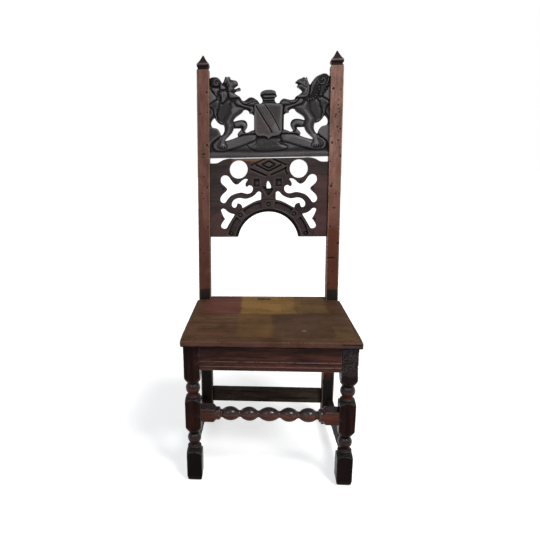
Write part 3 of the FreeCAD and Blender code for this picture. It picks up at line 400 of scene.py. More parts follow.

# %% [markdown]
# ## Carving
#
# The two boards of the back are carved in relief. A carver draws the outline of each limb and
# wing, lowers the ground round it, and rounds it over. The cells below do the same on a
# height map of half a millimetre a step: each form is a drawn outline with a height and
# a rounding, and gouge cuts are paths with a width and a depth. All sizes are in millimetres,
# across from the middle of the chair and up the raked posts from the seat.


# %% Curves through drawn points
def curve_through(points, closed):
    """A smooth line through a few points."""
    points = np.array(points, float)
    if closed:
        ring = np.vstack([points[-1:], points, points[:2]])
    else:
        ring = np.vstack([2 * points[:1] - points[1:2], points, 2 * points[-1:] - points[-2:-1]])
    steps = np.linspace(0, 1, 6, endpoint=False)[:, None]
    line = []
    for a, b, c, d in zip(ring, ring[1:], ring[2:], ring[3:]):
        line.append(0.5 * (2 * b + (c - a) * steps + (2 * a - 5 * b + 4 * c - d) * steps ** 2
                           + (3 * b - a - 3 * c + d) * steps ** 3))
    line = np.vstack(line)
    return line if closed else np.vstack([line, points[-1:]])


def away_from(across, up, line, closed):
    """How far each place of a map lies from a line, and whether it lies inside it."""
    best = np.full(across.shape, 1e9)
    inside = np.zeros(across.shape, bool)
    ends = np.roll(line, -1, axis=0) if closed else line[1:]
    for (x0, y0), (x1, y1) in zip(line, ends):
        dx, dy = x1 - x0, y1 - y0
        t = ((across - x0) * dx + (up - y0) * dy) / max(dx * dx + dy * dy, 1e-12)
        t = np.clip(t, 0, 1)
        best = np.minimum(best, np.hypot(across - x0 - t * dx, up - y0 - t * dy))
        if closed:
            crossing = ((y0 > up) != (y1 > up)) & (
                across < (x1 - x0) * (up - y0) / np.where(y1 == y0, 1e-12, y1 - y0) + x0)
            inside ^= crossing
    return best, inside


# %% The height map
HALF_MAP, STEP = 185, 0.5
# Narrow cuts fade when the map is softened, so they are made wider and deeper than drawn.
GOUGE_WIDER, GOUGE_DEEPER = 1.35, 1.4


class Relief:
    """Heights above the carved ground, with painted shade and light, on a map of the board's face.
    """

    def __init__(self, low, high, height):
        self.low = low
        self.across, self.up = np.meshgrid(np.arange(-HALF_MAP, HALF_MAP + 0.1, STEP),
                                           np.arange(low, high, STEP))
        self.height = np.full(self.across.shape, float(height))
        self.shade = np.zeros(self.across.shape)

    def near(self, line, margin):
        """The part of the map round a line."""
        x0, y0 = line.min(axis=0) - margin
        x1, y1 = line.max(axis=0) + margin
        rows = slice(max(int((y0 - self.low) / STEP), 0), max(int((y1 - self.low) / STEP) + 2, 1))
        columns = slice(max(int((x0 + HALF_MAP) / STEP), 0),
                        max(int((x1 + HALF_MAP) / STEP) + 2, 1))
        return rows, columns

    def form(self, points, edge, top, rounding, line=2.2, groove=2.6):
        """Lay a rounded form over the map, with a gouged line round it that gets painted shade."""
        outline = curve_through(points, True)
        part = self.near(outline, 6)
        gap, inside = away_from(self.across[part], self.up[part], outline, True)
        rise = np.sin(np.clip(gap / rounding, 0, 1) * math.pi / 2) ** 0.8
        height, shade = self.height[part], self.shade[part]
        height[inside] = (edge + (top - edge) * rise)[inside]
        shade[inside] = 0
        if groove:
            cut = groove * np.exp(-(gap / line) ** 2)
            height[~inside] -= cut[~inside]
            shade[~inside] += 0.4 * cut[~inside]

    def stroke(self, points, width, change, closed=False):
        """Raise a rounded ridge along a path, or sink a groove where the change is below 0."""
        if change < 0:
            width, change = width * GOUGE_WIDER, change * GOUGE_DEEPER
        path = curve_through(points, closed)
        part = self.near(path, width)
        gap, inside = away_from(self.across[part], self.up[part], path, closed)
        reach = np.clip(1 - (2 * gap / width) ** 2, 0, 1)
        self.height[part] += change * reach
        self.rub_and_shade(part, reach, change)

    def boss(self, x, y, radius, change):
        """Raise a round boss, or sink a round pit."""
        gap = np.hypot(self.across - x, self.up - y)
        reach = np.clip(1 - (gap / radius) ** 2, 0, 1)
        self.height += change * reach
        self.rub_and_shade(slice(None), reach, change)

    def rub_and_shade(self, part, reach, change):
        """Ridges get wear and a painted highlight, grooves get dirt and painted shade."""
        shade = self.shade[part]
        if change > 0:
            shade *= 1 - reach
            shade -= 0.25 * change * reach
        else:
            shade += 1.2 * reach

    def paint_shading(self, points, amount, edge=4.0):
        """Paint shade over an area, or painted light where the amount is below 0."""
        outline = curve_through(points, True)
        part = self.near(outline, 1)
        gap, inside = away_from(self.across[part], self.up[part], outline, True)
        self.shade[part] += np.where(inside, amount * np.clip(gap / edge, 0, 1), 0)

    def soften(self, times):
        """Average each place with its neighbours, as sanding and wax do."""
        for turn in range(times):
            padded = np.pad(self.height, 1, mode="edge")
            self.height = (padded[:-2, 1:-1] + padded[2:, 1:-1] + padded[1:-1, :-2]
                           + padded[1:-1, 2:] + 4 * padded[1:-1, 1:-1]) / 8

    def blurred(self, size):
        """The map seen out of focus, with a blur of this size in millimetres."""
        reach = np.arange(-round(3 * size / STEP), round(3 * size / STEP) + 1)
        weight = np.exp(-(reach * STEP / size) ** 2 / 2)
        weight = weight / weight.sum()
        margin = len(reach) // 2
        field = np.pad(self.height, margin, mode="edge")
        field = sum(w * field[k:k + self.height.shape[0]] for k, w in enumerate(weight))
        return sum(w * field[:, k:k + self.height.shape[1]] for k, w in enumerate(weight))

    def at(self, field, across, up):
        """A map's value at any places."""
        rows, columns = field.shape
        x = np.clip((across + HALF_MAP) / STEP, 0, columns - 1.001)
        y = np.clip((up - self.low) / STEP, 0, rows - 1.001)
        i, j = x.astype(int), y.astype(int)
        s, t = x - i, y - j
        return ((field[j, i] * (1 - s) + field[j, i + 1] * s) * (1 - t)
                + (field[j + 1, i] * (1 - s) + field[j + 1, i + 1] * s) * t)


# %% Press a height map into a board
BOARD_HALF = 182.9
NEAR_BLUR, WIDE_BLUR = 2.0, 6.0


def carve(name, relief, front, back, face_height, voxel):
    """Carve a copy of a board, whose face and back lie at these distances behind the posts."""
    piece = worn_copy(name, voxel, 1, 0.0)
    points = points_of(piece.data)
    across, up, deep = on_rake(points)
    on_board = np.abs(across) < BOARD_HALF
    height = relief.at(relief.height, across, up)
    chisel = 0.35 * soft_noise(points, 0.008, 11) + 0.18 * soft_noise(points, 0.003, 12)
    cut = np.clip(face_height - height + np.abs(chisel), 0.0, face_height + 3)
    share = np.clip((back - deep) / (back - front), 0, 1)
    deep = np.where(on_board, deep + cut * share, deep)
    points[:, 1] = POST_FACE + (up * math.sin(RAKE) + deep * math.cos(RAKE)) / 1000
    points[:, 2] = SEAT_TOP + (up * math.cos(RAKE) - deep * math.sin(RAKE)) / 1000
    set_points(piece.data, points)
    near = relief.blurred(NEAR_BLUR)
    wide = relief.blurred(WIDE_BLUR)
    # The mark holds dirt and painted shade where the map is sunk or deep, and painted light where
    # it is below 0.
    shading_and_dirt = relief.at(0.6 * near + 0.5 * wide + relief.shade, across, up) - 1.1 * height
    shading_and_dirt = shading_and_dirt + 0.1 * (face_height - 3 - height)
    mark_with(piece.data, "shading_and_dirt", np.clip(shading_and_dirt / 3 * share, -1, 1))
    print(name, "vertices", len(points), "deepest cut", round(float(cut.max()), 2), "mm")
    return piece


# %% [markdown]
# ### The crest
#
# Two winged beasts stand on a ribbon and hold a shield between them. Their bodies match left
# to right, so each body form is drawn once and laid on both sides. The heads and the wings
# differ, so each side has its own.

# %% Bodies, drawn for the right side
crest = Relief(445, 693, 2.0)
FACE = 11.0


def both(points):
    """The same points on the right and on the left."""
    return points, [(-x, y) for x, y in points]


def on_both(cut, points, *sizes, **extra):
    """Make the same form or cut on the right and on the left."""
    for side in both(points):
        cut(side, *sizes, **extra)


crest.form([
    (-190, 440), (-60, 440), (60, 440), (190, 440), (190, 466), (60, 466), (-60, 466),
    (-190, 466)], 3.0, 9.5, 12, groove=0)
on_both(crest.form, [
    (40, 518), (62, 518), (80, 516), (92, 512), (105, 507), (118, 503), (136, 498), (148, 513),
    (158, 504), (167, 498), (175, 490), (175, 481), (171, 473), (163, 468), (150, 466), (132, 468),
    (118, 471), (105, 476), (90, 481), (75, 486), (60, 491), (42, 495), (36, 506)], 2.5, 8.0, 10)
on_both(crest.form, [
    (150, 515), (160, 506), (170, 499), (180, 488), (184, 470), (188, 500), (188, 540), (176, 542),
    (160, 537), (150, 528)], 4.0, 8.0, 5, groove=0.6)
on_both(crest.form, [
    (183, 566), (176, 572), (169, 580), (167, 592), (172, 600),
    (186, 604)], 3.5, 6.5, 5, groove=0.4)
on_both(crest.form, [
    (186, 652), (178, 652), (173, 645), (164, 636), (161, 627), (165, 620),
    (186, 610)], 4.0, 8.0, 6, groove=0.4)
# Painted light: the ground beside the posts is made paler.
crest.paint_shading([
    (188, 544), (174, 540), (162, 535), (154, 526), (157, 514), (165, 500), (188, 480)], -2.0)
crest.paint_shading([
    (188, 664), (178, 660), (176, 651), (168, 638), (164, 631), (168, 624), (188, 616)], -2.2)
crest.paint_shading([(-188, 661), (-170, 658), (-160, 649), (-158, 634), (-163, 625), (-188, 612)], -1.0)
on_both(crest.form, [
    (34, 524), (50, 528), (60, 523), (72, 524), (79, 531), (87, 531), (94, 522), (96, 516),
    (91, 512), (80, 516), (62, 518), (44, 517)], 3.3, 9.5, 6)
on_both(crest.form, [
    (112, 553), (100, 557), (88, 559), (78, 557), (70, 551), (66, 543), (68, 534), (72, 524),
    (79, 523), (81, 531), (80, 537), (85, 540), (96, 538), (110, 540)], 3.0, 10.0, 10)
back = [
    (116, 615), (134, 621), (145, 617), (151, 606), (155, 594), (159, 582), (159, 571), (156, 561),
    (149, 553), (138, 550), (128, 562), (118, 580)]
# The haunch gets painted shade over it on both sides.
for side in both(back):
    crest.form(side, 4.2, 7.5, 9)
    crest.paint_shading(side, 0.5)
on_both(crest.form, [
    (84, 607), (100, 612), (114, 616), (120, 609), (122, 597), (124, 586), (131, 574), (140, 560),
    (140, 550), (137, 540), (136, 530), (139, 520), (145, 511), (150, 500), (156, 489), (159, 481),
    (157, 476), (148, 474), (138, 474), (130, 478), (130, 485), (135, 492), (132, 503), (122, 513),
    (113, 522), (108, 532), (106, 542), (108, 556), (103, 566), (92, 575), (82, 585),
    (76, 596)], 3.3, 11.0, 22)
on_both(crest.form, [
    (160, 622), (170, 618), (183, 610), (186, 603), (178, 598), (172, 589), (168, 577), (166, 571),
    (163, 580), (160, 591), (155, 601), (153, 611), (154, 619)], 3.4, 7.5, 6)
on_both(crest.stroke, [
    (151, 620), (151, 608), (156, 597), (161, 585), (163, 573), (160, 563), (153, 556),
    (144, 552)], 5.0, 3.6)
on_both(crest.stroke, [
    (121, 602), (122, 590), (127, 580), (134, 569), (140, 558), (137, 546), (136, 532), (141, 518),
    (148, 505), (155, 490), (158, 482)], 3.2, 1.5)
for toe in (137, 144, 151):
    on_both(crest.stroke, [(toe, 474), (toe + 1, 482)], 2.2, -2.2)
for toe in (47, 54):
    on_both(crest.stroke, [(toe, 517), (toe + 2, 525)], 2.0, -1.8)
on_both(crest.form, [
    (103, 618), (97, 622), (89, 620), (82, 613), (74, 607), (64, 603), (54, 602), (47, 600),
    (44, 592), (43, 583), (49, 578), (59, 578), (61, 584), (58, 588), (60, 592), (68, 596),
    (78, 598), (90, 600), (99, 604), (104, 611)], 3.0, 10.5, 9)
on_both(crest.stroke, [(50, 580), (51, 589)], 2.0, -2.0)

# %% Shield, cap, mantling and mound
crest.form([
    (-65, 486), (-52, 493), (-42, 499), (-30, 505), (0, 506), (30, 505), (38, 499), (36, 491),
    (48, 484), (57, 478), (50, 470), (25, 466), (0, 464), (-30, 465), (-48, 470),
    (-60, 478)], 2.2, 7.0, 14)
crest.stroke([(34, 489), (42, 486), (52, 481)], 2.2, -2.0)
crest.stroke([(-40, 500), (-36, 493), (-42, 486), (-52, 480)], 2.2, -1.6)
on_both(crest.form, [
    (26, 608), (33, 612), (40, 619), (48, 621), (57, 619), (66, 616), (76, 617), (85, 622),
    (92, 622), (88, 613), (78, 606), (62, 602), (46, 600), (30, 601)], 2.2, 8.0, 8, groove=0.6)
on_both(crest.stroke, [(38, 613), (46, 615), (54, 613), (62, 609), (72, 606), (80, 607)], 3.0, -2.4)
crest.form([
    (-26, 632), (-25, 641), (-18, 646), (-2, 649), (14, 647), (21, 642), (23, 632)], 2.8, 9.5, 9)
crest.form([(-19, 633), (0, 634), (18, 633), (18, 623), (0, 622), (-17, 623)], 2.5, 8.5, 6)
crest.form([(-18, 623), (0, 623), (17, 623), (17, 615), (0, 614), (-18, 615)], 2.5, 8.5, 5)
crest.form([(-22, 615), (0, 616), (20, 615), (24, 607), (0, 609), (-26, 607)], 2.5, 8.0, 5)
crest.stroke([(-22, 639), (0, 641), (19, 639)], 2.0, -1.4)
for low, wide in ((632, 24), (622, 18), (614, 19)):
    crest.stroke([(-wide, low), (0, low), (wide - 2, low)], 2.2, -1.6)
SHIELD = [(-45, 604), (-41, 607), (-25, 607), (-8, 609), (12, 608), (30, 606), (39, 604),
          (42, 598), (41, 575), (40, 550), (40, 530), (37, 519), (29, 512), (12, 509), (4, 506),
          (-1, 501), (-6, 506), (-14, 510), (-30, 510), (-39, 515), (-44, 524), (-46, 545),
          (-46, 575), (-46, 596)]
crest.form(SHIELD, 7.5, 10.6, 5, line=1.8, groove=2.2)
crest.stroke([(37, 600), (37, 575), (36, 550), (35, 528), (29, 517)], 4.0, 0.7)
crest.stroke([(-40, 601), (-30, 584), (-20, 568), (-10, 552), (1, 535), (9, 521)], 3.6, -2.8)
crest.stroke([(-13, 604), (-1, 587), (11, 569), (21, 551), (33, 527)], 2.8, -2.0)
crest.stroke([(-26, 602), (-10, 577), (6, 552), (20, 526)], 13.0, 0.8)

# %% Head and wing of the right hand beast
crest.form([
    (100, 622), (84, 623), (83, 629), (92, 633), (101, 641), (98, 647), (88, 652), (82, 657),
    (87, 660), (87, 664), (77, 667), (83, 673), (90, 677), (102, 680), (108, 681), (113, 679),
    (117, 672), (120, 660), (121, 648), (119, 634), (113, 625)], 3.3, 10.5, 14)
crest.form([
    (88, 667), (95, 672), (104, 674), (110, 670), (112, 660), (114, 650), (106, 653),
    (98, 658)], 6.5, 11.0, 10, groove=0.3)
crest.stroke([(79, 667), (87, 666), (94, 661)], 2.6, -2.4)
crest.boss(101, 669, 2.4, -2.2)
crest.stroke([
    (113, 676), (117, 663), (119, 651), (118, 638), (114, 629), (104, 625), (88, 625)], 4.5, 1.8)
crest.stroke([(111, 633), (104, 631), (96, 634)], 2.4, -1.6)
crest.form([
    (130, 667), (138, 680), (147, 686), (151, 680), (149, 670), (148, 655), (146, 640), (140, 628),
    (130, 617), (118, 613), (114, 618), (121, 626), (125, 640), (127, 655)], 3.3, 9.5, 12)
# Painted shade over the wing and in the bowl of its curl, here and below.
crest.paint_shading([
    (148, 682), (151, 670), (150, 655), (148, 640), (141, 627), (130, 617), (114, 611), (120, 620),
    (129, 634), (133, 650), (139, 666)], 3.0, 3.0)
crest.stroke([
    (144, 683), (136, 676), (130, 664), (127, 650), (125, 638), (120, 628), (111, 620)], 4.4, 2.4)
crest.stroke([(150, 675), (142, 667), (136, 655), (132, 640), (126, 628), (115, 620)], 3.2, -1.6)
crest.stroke([(124, 660), (123, 645), (121, 634), (116, 625)], 2.2, -2.0)
crest.form([
    (150, 661), (160, 663), (176, 663), (178, 656), (172, 651), (174, 645), (168, 642), (169, 636),
    (163, 634), (162, 628), (156, 626), (150, 629), (148, 645)], 4.2, 7.8, 9)
crest.paint_shading([(150, 661), (176, 663), (173, 648), (163, 632), (150, 630)], 1.5)
crest.form([
    (149, 678), (152, 686), (161, 691), (172, 690), (179, 684), (179, 673), (176, 664), (168, 660),
    (156, 658), (147, 665)], 7.5, 4.5, 5)
crest.paint_shading([
    (150, 679), (154, 686), (162, 689), (171, 688), (177, 682), (177, 674), (173, 664), (164, 660),
    (154, 661)], 3.2)
crest.stroke([
    (147, 684), (145, 672), (149, 664), (158, 661), (165, 665), (167, 672), (163, 677), (158, 675),
    (158, 671)], 4.6, 4.0)
crest.stroke([
    (152, 664), (154, 654), (152, 642), (149, 632), (144, 624), (136, 616), (122, 611)], 4.0, -1.6)
for x, y in ((147, 660), (148, 652), (148, 644), (146, 637), (143, 630), (139, 624), (133, 619),
             (126, 616), (118, 614)):
    crest.boss(x, y, 3.3, 4.5)
crest.stroke([(160, 623), (156, 620), (153, 615)], 6.0, 3.2)
crest.stroke([(152, 500), (163, 491), (165, 481), (157, 473)], 4.2, -1.4)
crest.stroke([(158, 504), (170, 492), (171, 479), (162, 470)], 3.2, 1.6)

# %% Head and wing of the left hand beast
crest.form([
    (-97, 626), (-90, 630), (-99, 636), (-108, 643), (-113, 647), (-106, 648), (-92, 647),
    (-88, 650), (-88, 656), (-98, 654), (-107, 655), (-105, 660), (-97, 666), (-95, 674),
    (-103, 679), (-114, 680), (-120, 684), (-122, 691), (-134, 691), (-135, 681), (-139, 674),
    (-130, 664), (-128, 650), (-126, 636), (-118, 626)], 3.3, 10.5, 14)
crest.stroke([(-88, 653), (-98, 651), (-108, 651), (-118, 650)], 2.2, -2.0)
crest.stroke([(-105, 640), (-114, 645), (-124, 646)], 2.4, -2.0)
crest.stroke([(-92, 628), (-104, 626), (-116, 624), (-128, 621)], 3.0, -2.8)
crest.boss(-110, 670, 2.4, -2.2)
crest.stroke([(-123, 689), (-123, 680), (-127, 668), (-132, 660), (-141, 653)], 4.0, 2.0)
crest.stroke([(-131, 683), (-134, 674), (-138, 668)], 4.0, 1.6)
crest.stroke([(-128, 677), (-131, 667), (-137, 660)], 2.0, -2.0)
crest.form([
    (-150, 684), (-143, 669), (-136, 664), (-132, 655), (-142, 649), (-151, 652),
    (-152, 668)], 2.8, 8.5, 9)
crest.stroke([(-146, 670), (-147, 662), (-147, 655)], 3.6, 1.6)
crest.form([
    (-151, 651), (-140, 650), (-130, 648), (-127, 640), (-128, 628), (-134, 618), (-143, 611),
    (-149, 618), (-149, 632), (-154, 642)], 3.0, 9.0, 9)
crest.stroke([(-145, 641), (-143, 630), (-142, 619)], 3.4, 1.8)
crest.stroke([(-136, 644), (-135, 632), (-137, 621)], 3.4, 1.8)
crest.stroke([(-130, 641), (-130, 632)], 3.0, 1.4)
crest.stroke([(-126, 625), (-133, 617), (-142, 610)], 3.0, -2.6)
crest.stroke([(-156, 645), (-148, 646), (-140, 649)], 3.6, -3.0)
crest.form([
    (-177, 657), (-168, 660), (-156, 659), (-151, 652), (-157, 644), (-160, 634), (-164, 634),
    (-170, 642), (-176, 650)], 2.8, 8.5, 9)
crest.form([
    (-181, 676), (-177, 686), (-168, 690), (-158, 690), (-150, 684), (-148, 673), (-152, 663),
    (-162, 659), (-173, 662), (-180, 668)], 2.8, 8.0, 9)
# Painted shade in the bowl of the left wing's curl.
crest.paint_shading([(-180, 670), (-176, 685), (-166, 689), (-154, 685), (-150, 674), (-158, 662)], 2.4)
crest.stroke([
    (-161, 674), (-157, 671), (-159, 667), (-164, 666), (-168, 671), (-167, 679), (-160, 684),
    (-153, 681)], 3.4, 1.0)
crest.stroke([(-179, 658), (-168, 663), (-160, 660), (-151, 664)], 3.0, -2.8)
crest.boss(-156, 624, 5.0, 3.0)
for x, y in ((-160, 632), (-147, 606), (-152, 607)):
    crest.boss(x, y, 2.6, 1.4)
# Painted highlights on the left beast's belly and on the shield's bend.
crest.paint_shading([(-118, 590), (-108, 600), (-92, 591), (-107, 580)], -1.4)
crest.paint_shading([(12, 541), (22, 550), (33, 530), (27, 520), (14, 524)], -1.4)

crest.height = np.clip(crest.height, 0.0, FACE)
crest.soften(2)
pieces["crest_panel"] = carve("crest_panel", crest, 7.0, 31.0, FACE, 0.0011)

# %% [markdown]
# ### The arched board
#
# This one is flatter: strapwork at the board's face, with lines, pits and sunk panels cut into
# it. The arch has a bevelled rim, and round bosses stand between sunk panels along it.

# %% Archivolt and strapwork
STRAP_FACE = 9.0
CENTRE_UP = 183.0
BEVEL_EDGE, BEVEL_WIDTH, BEVEL_DEPTH = 104.5, 8.5, 5.5
PANELS_FROM, PANELS_TO, BEAD = 107.5, 129.0, 134
strap = Relief(198, 448, STRAP_FACE)
radius = np.hypot(strap.across, strap.up - CENTRE_UP)
angle = np.degrees(np.arctan2(strap.across, strap.up - CENTRE_UP))
strap.height -= BEVEL_DEPTH * np.clip((BEVEL_EDGE - radius) / BEVEL_WIDTH, 0, 1)
strap.shade += 5.0 * np.clip((105.5 - radius) / 2, 0, 1) * np.clip(1.2 - angle / 80, 0.15, 1)
for low, high in ((-79, -51), (-39, -11), (9, 37), (51, 79)):
    ends = np.minimum(angle - low, high - angle) * 2.0
    inset = np.minimum(np.minimum(radius - PANELS_FROM, PANELS_TO - radius), ends)
    strap.height -= np.clip(inset / 1.5, 0, 1) * (1.8 + 3.6 * np.clip((radius - 107) / 22, 0, 1))
strap.stroke([(math.sin(math.radians(a)) * BEAD, CENTRE_UP + math.cos(math.radians(a)) * BEAD)
              for a in range(-76, 77, 8)], 2.2, -1.0)
for x, y in ((0, 302), (-88, 269), (79, 272), (-117, 211), (117, 211)):
    ring = [(x + 5.4 * math.cos(t), y + 5.4 * math.sin(t)) for t in np.arange(0, 6.2, 0.8)]
    strap.stroke(ring, 2.8, -3.0, closed=True)
for x, y in ((-142, 350), (135, 354), (-145, 260), (144, 255), (-103, 371), (98, 370)):
    strap.boss(x, y, 3.2, -4.0)

# %% Lozenges, square sinkings and the wedge below the small hole
strap.stroke([
    (-20, 424), (-10, 429), (0, 434), (10, 429), (19, 424), (10, 419), (0, 414),
    (-10, 419)], 4.4, -3.6, closed=True)
strap.boss(0, 424, 9, 0.6)
strap.stroke([
    (-39, 424), (-25, 417), (-10, 409), (0, 405), (12, 410), (26, 417), (38, 423)], 4.6, -3.6)
strap.stroke([(-55, 411), (-38, 404), (-20, 396), (-8, 391)], 4.6, -3.8)
strap.stroke([(8, 393), (24, 400), (38, 406), (52, 413)], 4.4, -3.6)
strap.stroke([(53, 415), (52, 405), (57, 395)], 4.0, -3.2)
strap.stroke([(-54, 423), (-40, 429), (-26, 435), (-12, 442)], 4.0, -2.8)
strap.stroke([(14, 441), (28, 434), (40, 429), (53, 423)], 4.4, -3.4)
for middle, out in ((-37.5, 9.5), (31.0, 10.0)):
    inset = np.minimum(out - np.abs(strap.across - middle), 12 - np.abs(strap.up - 369))
    strap.height -= 5.0 * np.clip(inset / 1.5, 0, 1)
    strap.boss(middle + 2, 366, 7.5, 2.4)
wedge = curve_through([(-17, 357), (-6, 356), (0, 350), (8, 352), (15, 350), (9, 338), (0, 329),
                       (-9, 342)], True)
gap, inside = away_from(strap.across, strap.up, wedge, True)
strap.height -= np.where(inside, 5.5 * np.clip(gap / 1.5, 0, 1), 0)
strap.stroke([(-19, 357), (-12, 344), (-3, 330)], 2.4, -1.8)
strap.stroke([(-24, 313), (-20, 300), (-21, 292)], 2.0, -1.2)

strap.height = np.clip(strap.height, 0.5, STRAP_FACE)
strap.soften(2)
pieces["arched_panel"] = carve("arched_panel", strap, 7.0, 27.0, STRAP_FACE, 0.0013)

# %% [markdown]
# ## Old oak
#
# Every piece is the same old oak, so the parts of the look that they share are node groups:
# the grain with its open pores, the wear on raised edges with the dirt in the hollows, stained
# patches, dust on what faces up, and wormholes. Each material places them with its own grain
# direction, colours and amounts.


# %% Small helpers for node trees
def new_group(name, inputs, outputs):
    """An empty node group with its two ends."""
    tree = bpy.data.node_groups.new(name, "ShaderNodeTree")
    for label, kind, value in inputs:
        socket = tree.interface.new_socket(label, in_out="INPUT", socket_type=kind)
        if value is not None:
            socket.default_value = value
    for label, kind in outputs:
        tree.interface.new_socket(label, in_out="OUTPUT", socket_type=kind)
    return tree, tree.nodes.new("NodeGroupInput"), tree.nodes.new("NodeGroupOutput")


def noise(tree, place, scale, detail=3.0, roughness=0.55, distortion=0.0):
    """A noise texture read at a place."""
    node = tree.nodes.new("ShaderNodeTexNoise")
    set_inputs(node, {"Scale": scale, "Detail": detail, "Roughness": roughness,
                      "Distortion": distortion})
    tree.links.new(place, node.inputs["Vector"])
    return node.outputs["Fac"]


def between(tree, value, low, high, out_low=0.0, out_high=1.0):
    """Stretch a value from one range to another, with soft ends."""
    node = tree.nodes.new("ShaderNodeMapRange")
    node.interpolation_type = "SMOOTHSTEP"
    set_inputs(node, {"From Min": low, "From Max": high, "To Min": out_low, "To Max": out_high})
    tree.links.new(value, node.inputs["Value"])
    return node.outputs["Result"]


def math_node(tree, kind, first, second):
    """Arithmetic on two values, either of which may be a plain number."""
    node = tree.nodes.new("ShaderNodeMath")
    node.operation = kind
    for socket, value in zip(node.inputs, (first, second)):
        if isinstance(value, (int, float)):
            socket.default_value = value
        else:
            tree.links.new(value, socket)
    return node.outputs[0]


def vector_node(tree, kind, first, second=None):
    """Arithmetic on one or two vectors."""
    node = tree.nodes.new("ShaderNodeVectorMath")
    node.operation = kind
    tree.links.new(first, node.inputs[0])
    if second:
        tree.links.new(second, node.inputs[1])
    return node.outputs["Vector"]


def blend(tree, factor, first, second, kind="MIX"):
    """Mix two colours, either of which may be a plain colour."""
    node = tree.nodes.new("ShaderNodeMix")
    node.data_type = "RGBA"
    node.blend_type = kind
    for name, value in (("Factor_Float", factor), ("A_Color", first), ("B_Color", second)):
        socket = next(item for item in node.inputs if item.identifier == name)
        if isinstance(value, (int, float)):
            socket.default_value = value
        elif isinstance(value, tuple):
            socket.default_value = (*value, 1.0)
        else:
            tree.links.new(value, socket)
    return next(item for item in node.outputs if item.identifier == "Result_Color")


def stretched(tree, place, scale):
    """A place with its axes stretched."""
    node = tree.nodes.new("ShaderNodeMapping")
    node.inputs["Scale"].default_value = scale
    tree.links.new(place, node.inputs["Vector"])
    return node.outputs["Vector"]


# %% Grain and pores
grain_group, ends, result = new_group(
    "oak_grain", [("Place", "NodeSocketVector", None)],
    [("Grain", "NodeSocketFloat"), ("Pores", "NodeSocketFloat"), ("Patches", "NodeSocketFloat")])
place = ends.outputs["Place"]
rings = noise(grain_group, stretched(grain_group, place, (1.0, 14.0, 14.0)), 6.0, 4.0, 0.6, 0.6)
fibres = noise(grain_group, stretched(grain_group, place, (2.0, 60.0, 60.0)), 12.0, 3.0, 0.6)
mixed = math_node(grain_group, "ADD", math_node(grain_group, "MULTIPLY", rings, 0.65),
                  math_node(grain_group, "MULTIPLY", fibres, 0.35))
grain_group.links.new(between(grain_group, mixed, 0.34, 0.66), result.inputs["Grain"])
pores = noise(grain_group, stretched(grain_group, place, (3.5, 60.0, 60.0)), 18.0, 2.0, 0.5)
grain_group.links.new(between(grain_group, pores, 0.60, 0.72), result.inputs["Pores"])
patches = noise(grain_group, stretched(grain_group, place, (1.0, 2.2, 2.2)), 7.0, 3.0, 0.6)
grain_group.links.new(between(grain_group, patches, 0.36, 0.66), result.inputs["Patches"])

# %% Edge wear and dirt
wear_group, ends, result = new_group(
    "edge_wear", [("Place", "NodeSocketVector", None)],
    [("Edge", "NodeSocketFloat"), ("Dirt", "NodeSocketFloat")])
bulge = wear_group.nodes.new("ShaderNodeAttribute")
bulge.attribute_name = "bulge"
patchy = noise(wear_group, ends.outputs["Place"], 45.0, 3.0, 0.6)
edge = between(wear_group, bulge.outputs["Fac"], 0.02, 0.10)
wear_group.links.new(
    math_node(wear_group, "MULTIPLY", edge, between(wear_group, patchy, 0.28, 0.50)),
    result.inputs["Edge"])
dirt_and_shade = between(wear_group, bulge.outputs["Fac"], -0.02, -0.12)
grime = between(wear_group, noise(wear_group, ends.outputs["Place"], 14.0, 4.0, 0.6), 0.45, 0.75)
wear_group.links.new(
    math_node(wear_group, "MAXIMUM", dirt_and_shade, math_node(wear_group, "MULTIPLY", grime, 0.35)),
    result.inputs["Dirt"])

# %% A stained patch with a ragged edge
stain_group, ends, result = new_group(
    "stain", [("Place", "NodeSocketVector", None), ("Centre", "NodeSocketVector", (0, 0, 0)),
              ("Reach", "NodeSocketVector", (1, 1, 1)), ("Ragged", "NodeSocketFloat", 0.3)],
    [("Mask", "NodeSocketFloat")])

offset = vector_node(stain_group, "SUBTRACT", ends.outputs["Place"], ends.outputs["Centre"])
scaled = vector_node(stain_group, "DIVIDE", offset, ends.outputs["Reach"])
sides = stain_group.nodes.new("ShaderNodeSeparateXYZ")
stain_group.links.new(vector_node(stain_group, "ABSOLUTE", scaled), sides.inputs["Vector"])
distance = math_node(stain_group, "MAXIMUM", sides.outputs["X"], sides.outputs["Y"])
distance = math_node(stain_group, "MAXIMUM", distance, sides.outputs["Z"])
wobble = math_node(stain_group, "SUBTRACT",
                   noise(stain_group, ends.outputs["Place"], 22.0, 4.0, 0.6), 0.5)
wobble = math_node(stain_group, "MULTIPLY", wobble, ends.outputs["Ragged"])
distance = math_node(stain_group, "ADD", distance, wobble)
stain_group.links.new(between(stain_group, distance, 1.1, 0.9), result.inputs["Mask"])

# %% Faces that look up, where dust and soot settle
dust_group, ends, result = new_group(
    "settled_dust", [("Place", "NodeSocketVector", None)], [("Mask", "NodeSocketFloat")])
facing = dust_group.nodes.new("ShaderNodeTexCoord")
axes = dust_group.nodes.new("ShaderNodeSeparateXYZ")
dust_group.links.new(facing.outputs["Normal"], axes.inputs["Vector"])
lift = math_node(dust_group, "ADD", axes.outputs["Z"], math_node(
    dust_group, "MULTIPLY", noise(dust_group, ends.outputs["Place"], 60.0, 3.0, 0.6), 0.5))
dust_group.links.new(between(dust_group, lift, 0.42, 0.90), result.inputs["Mask"])

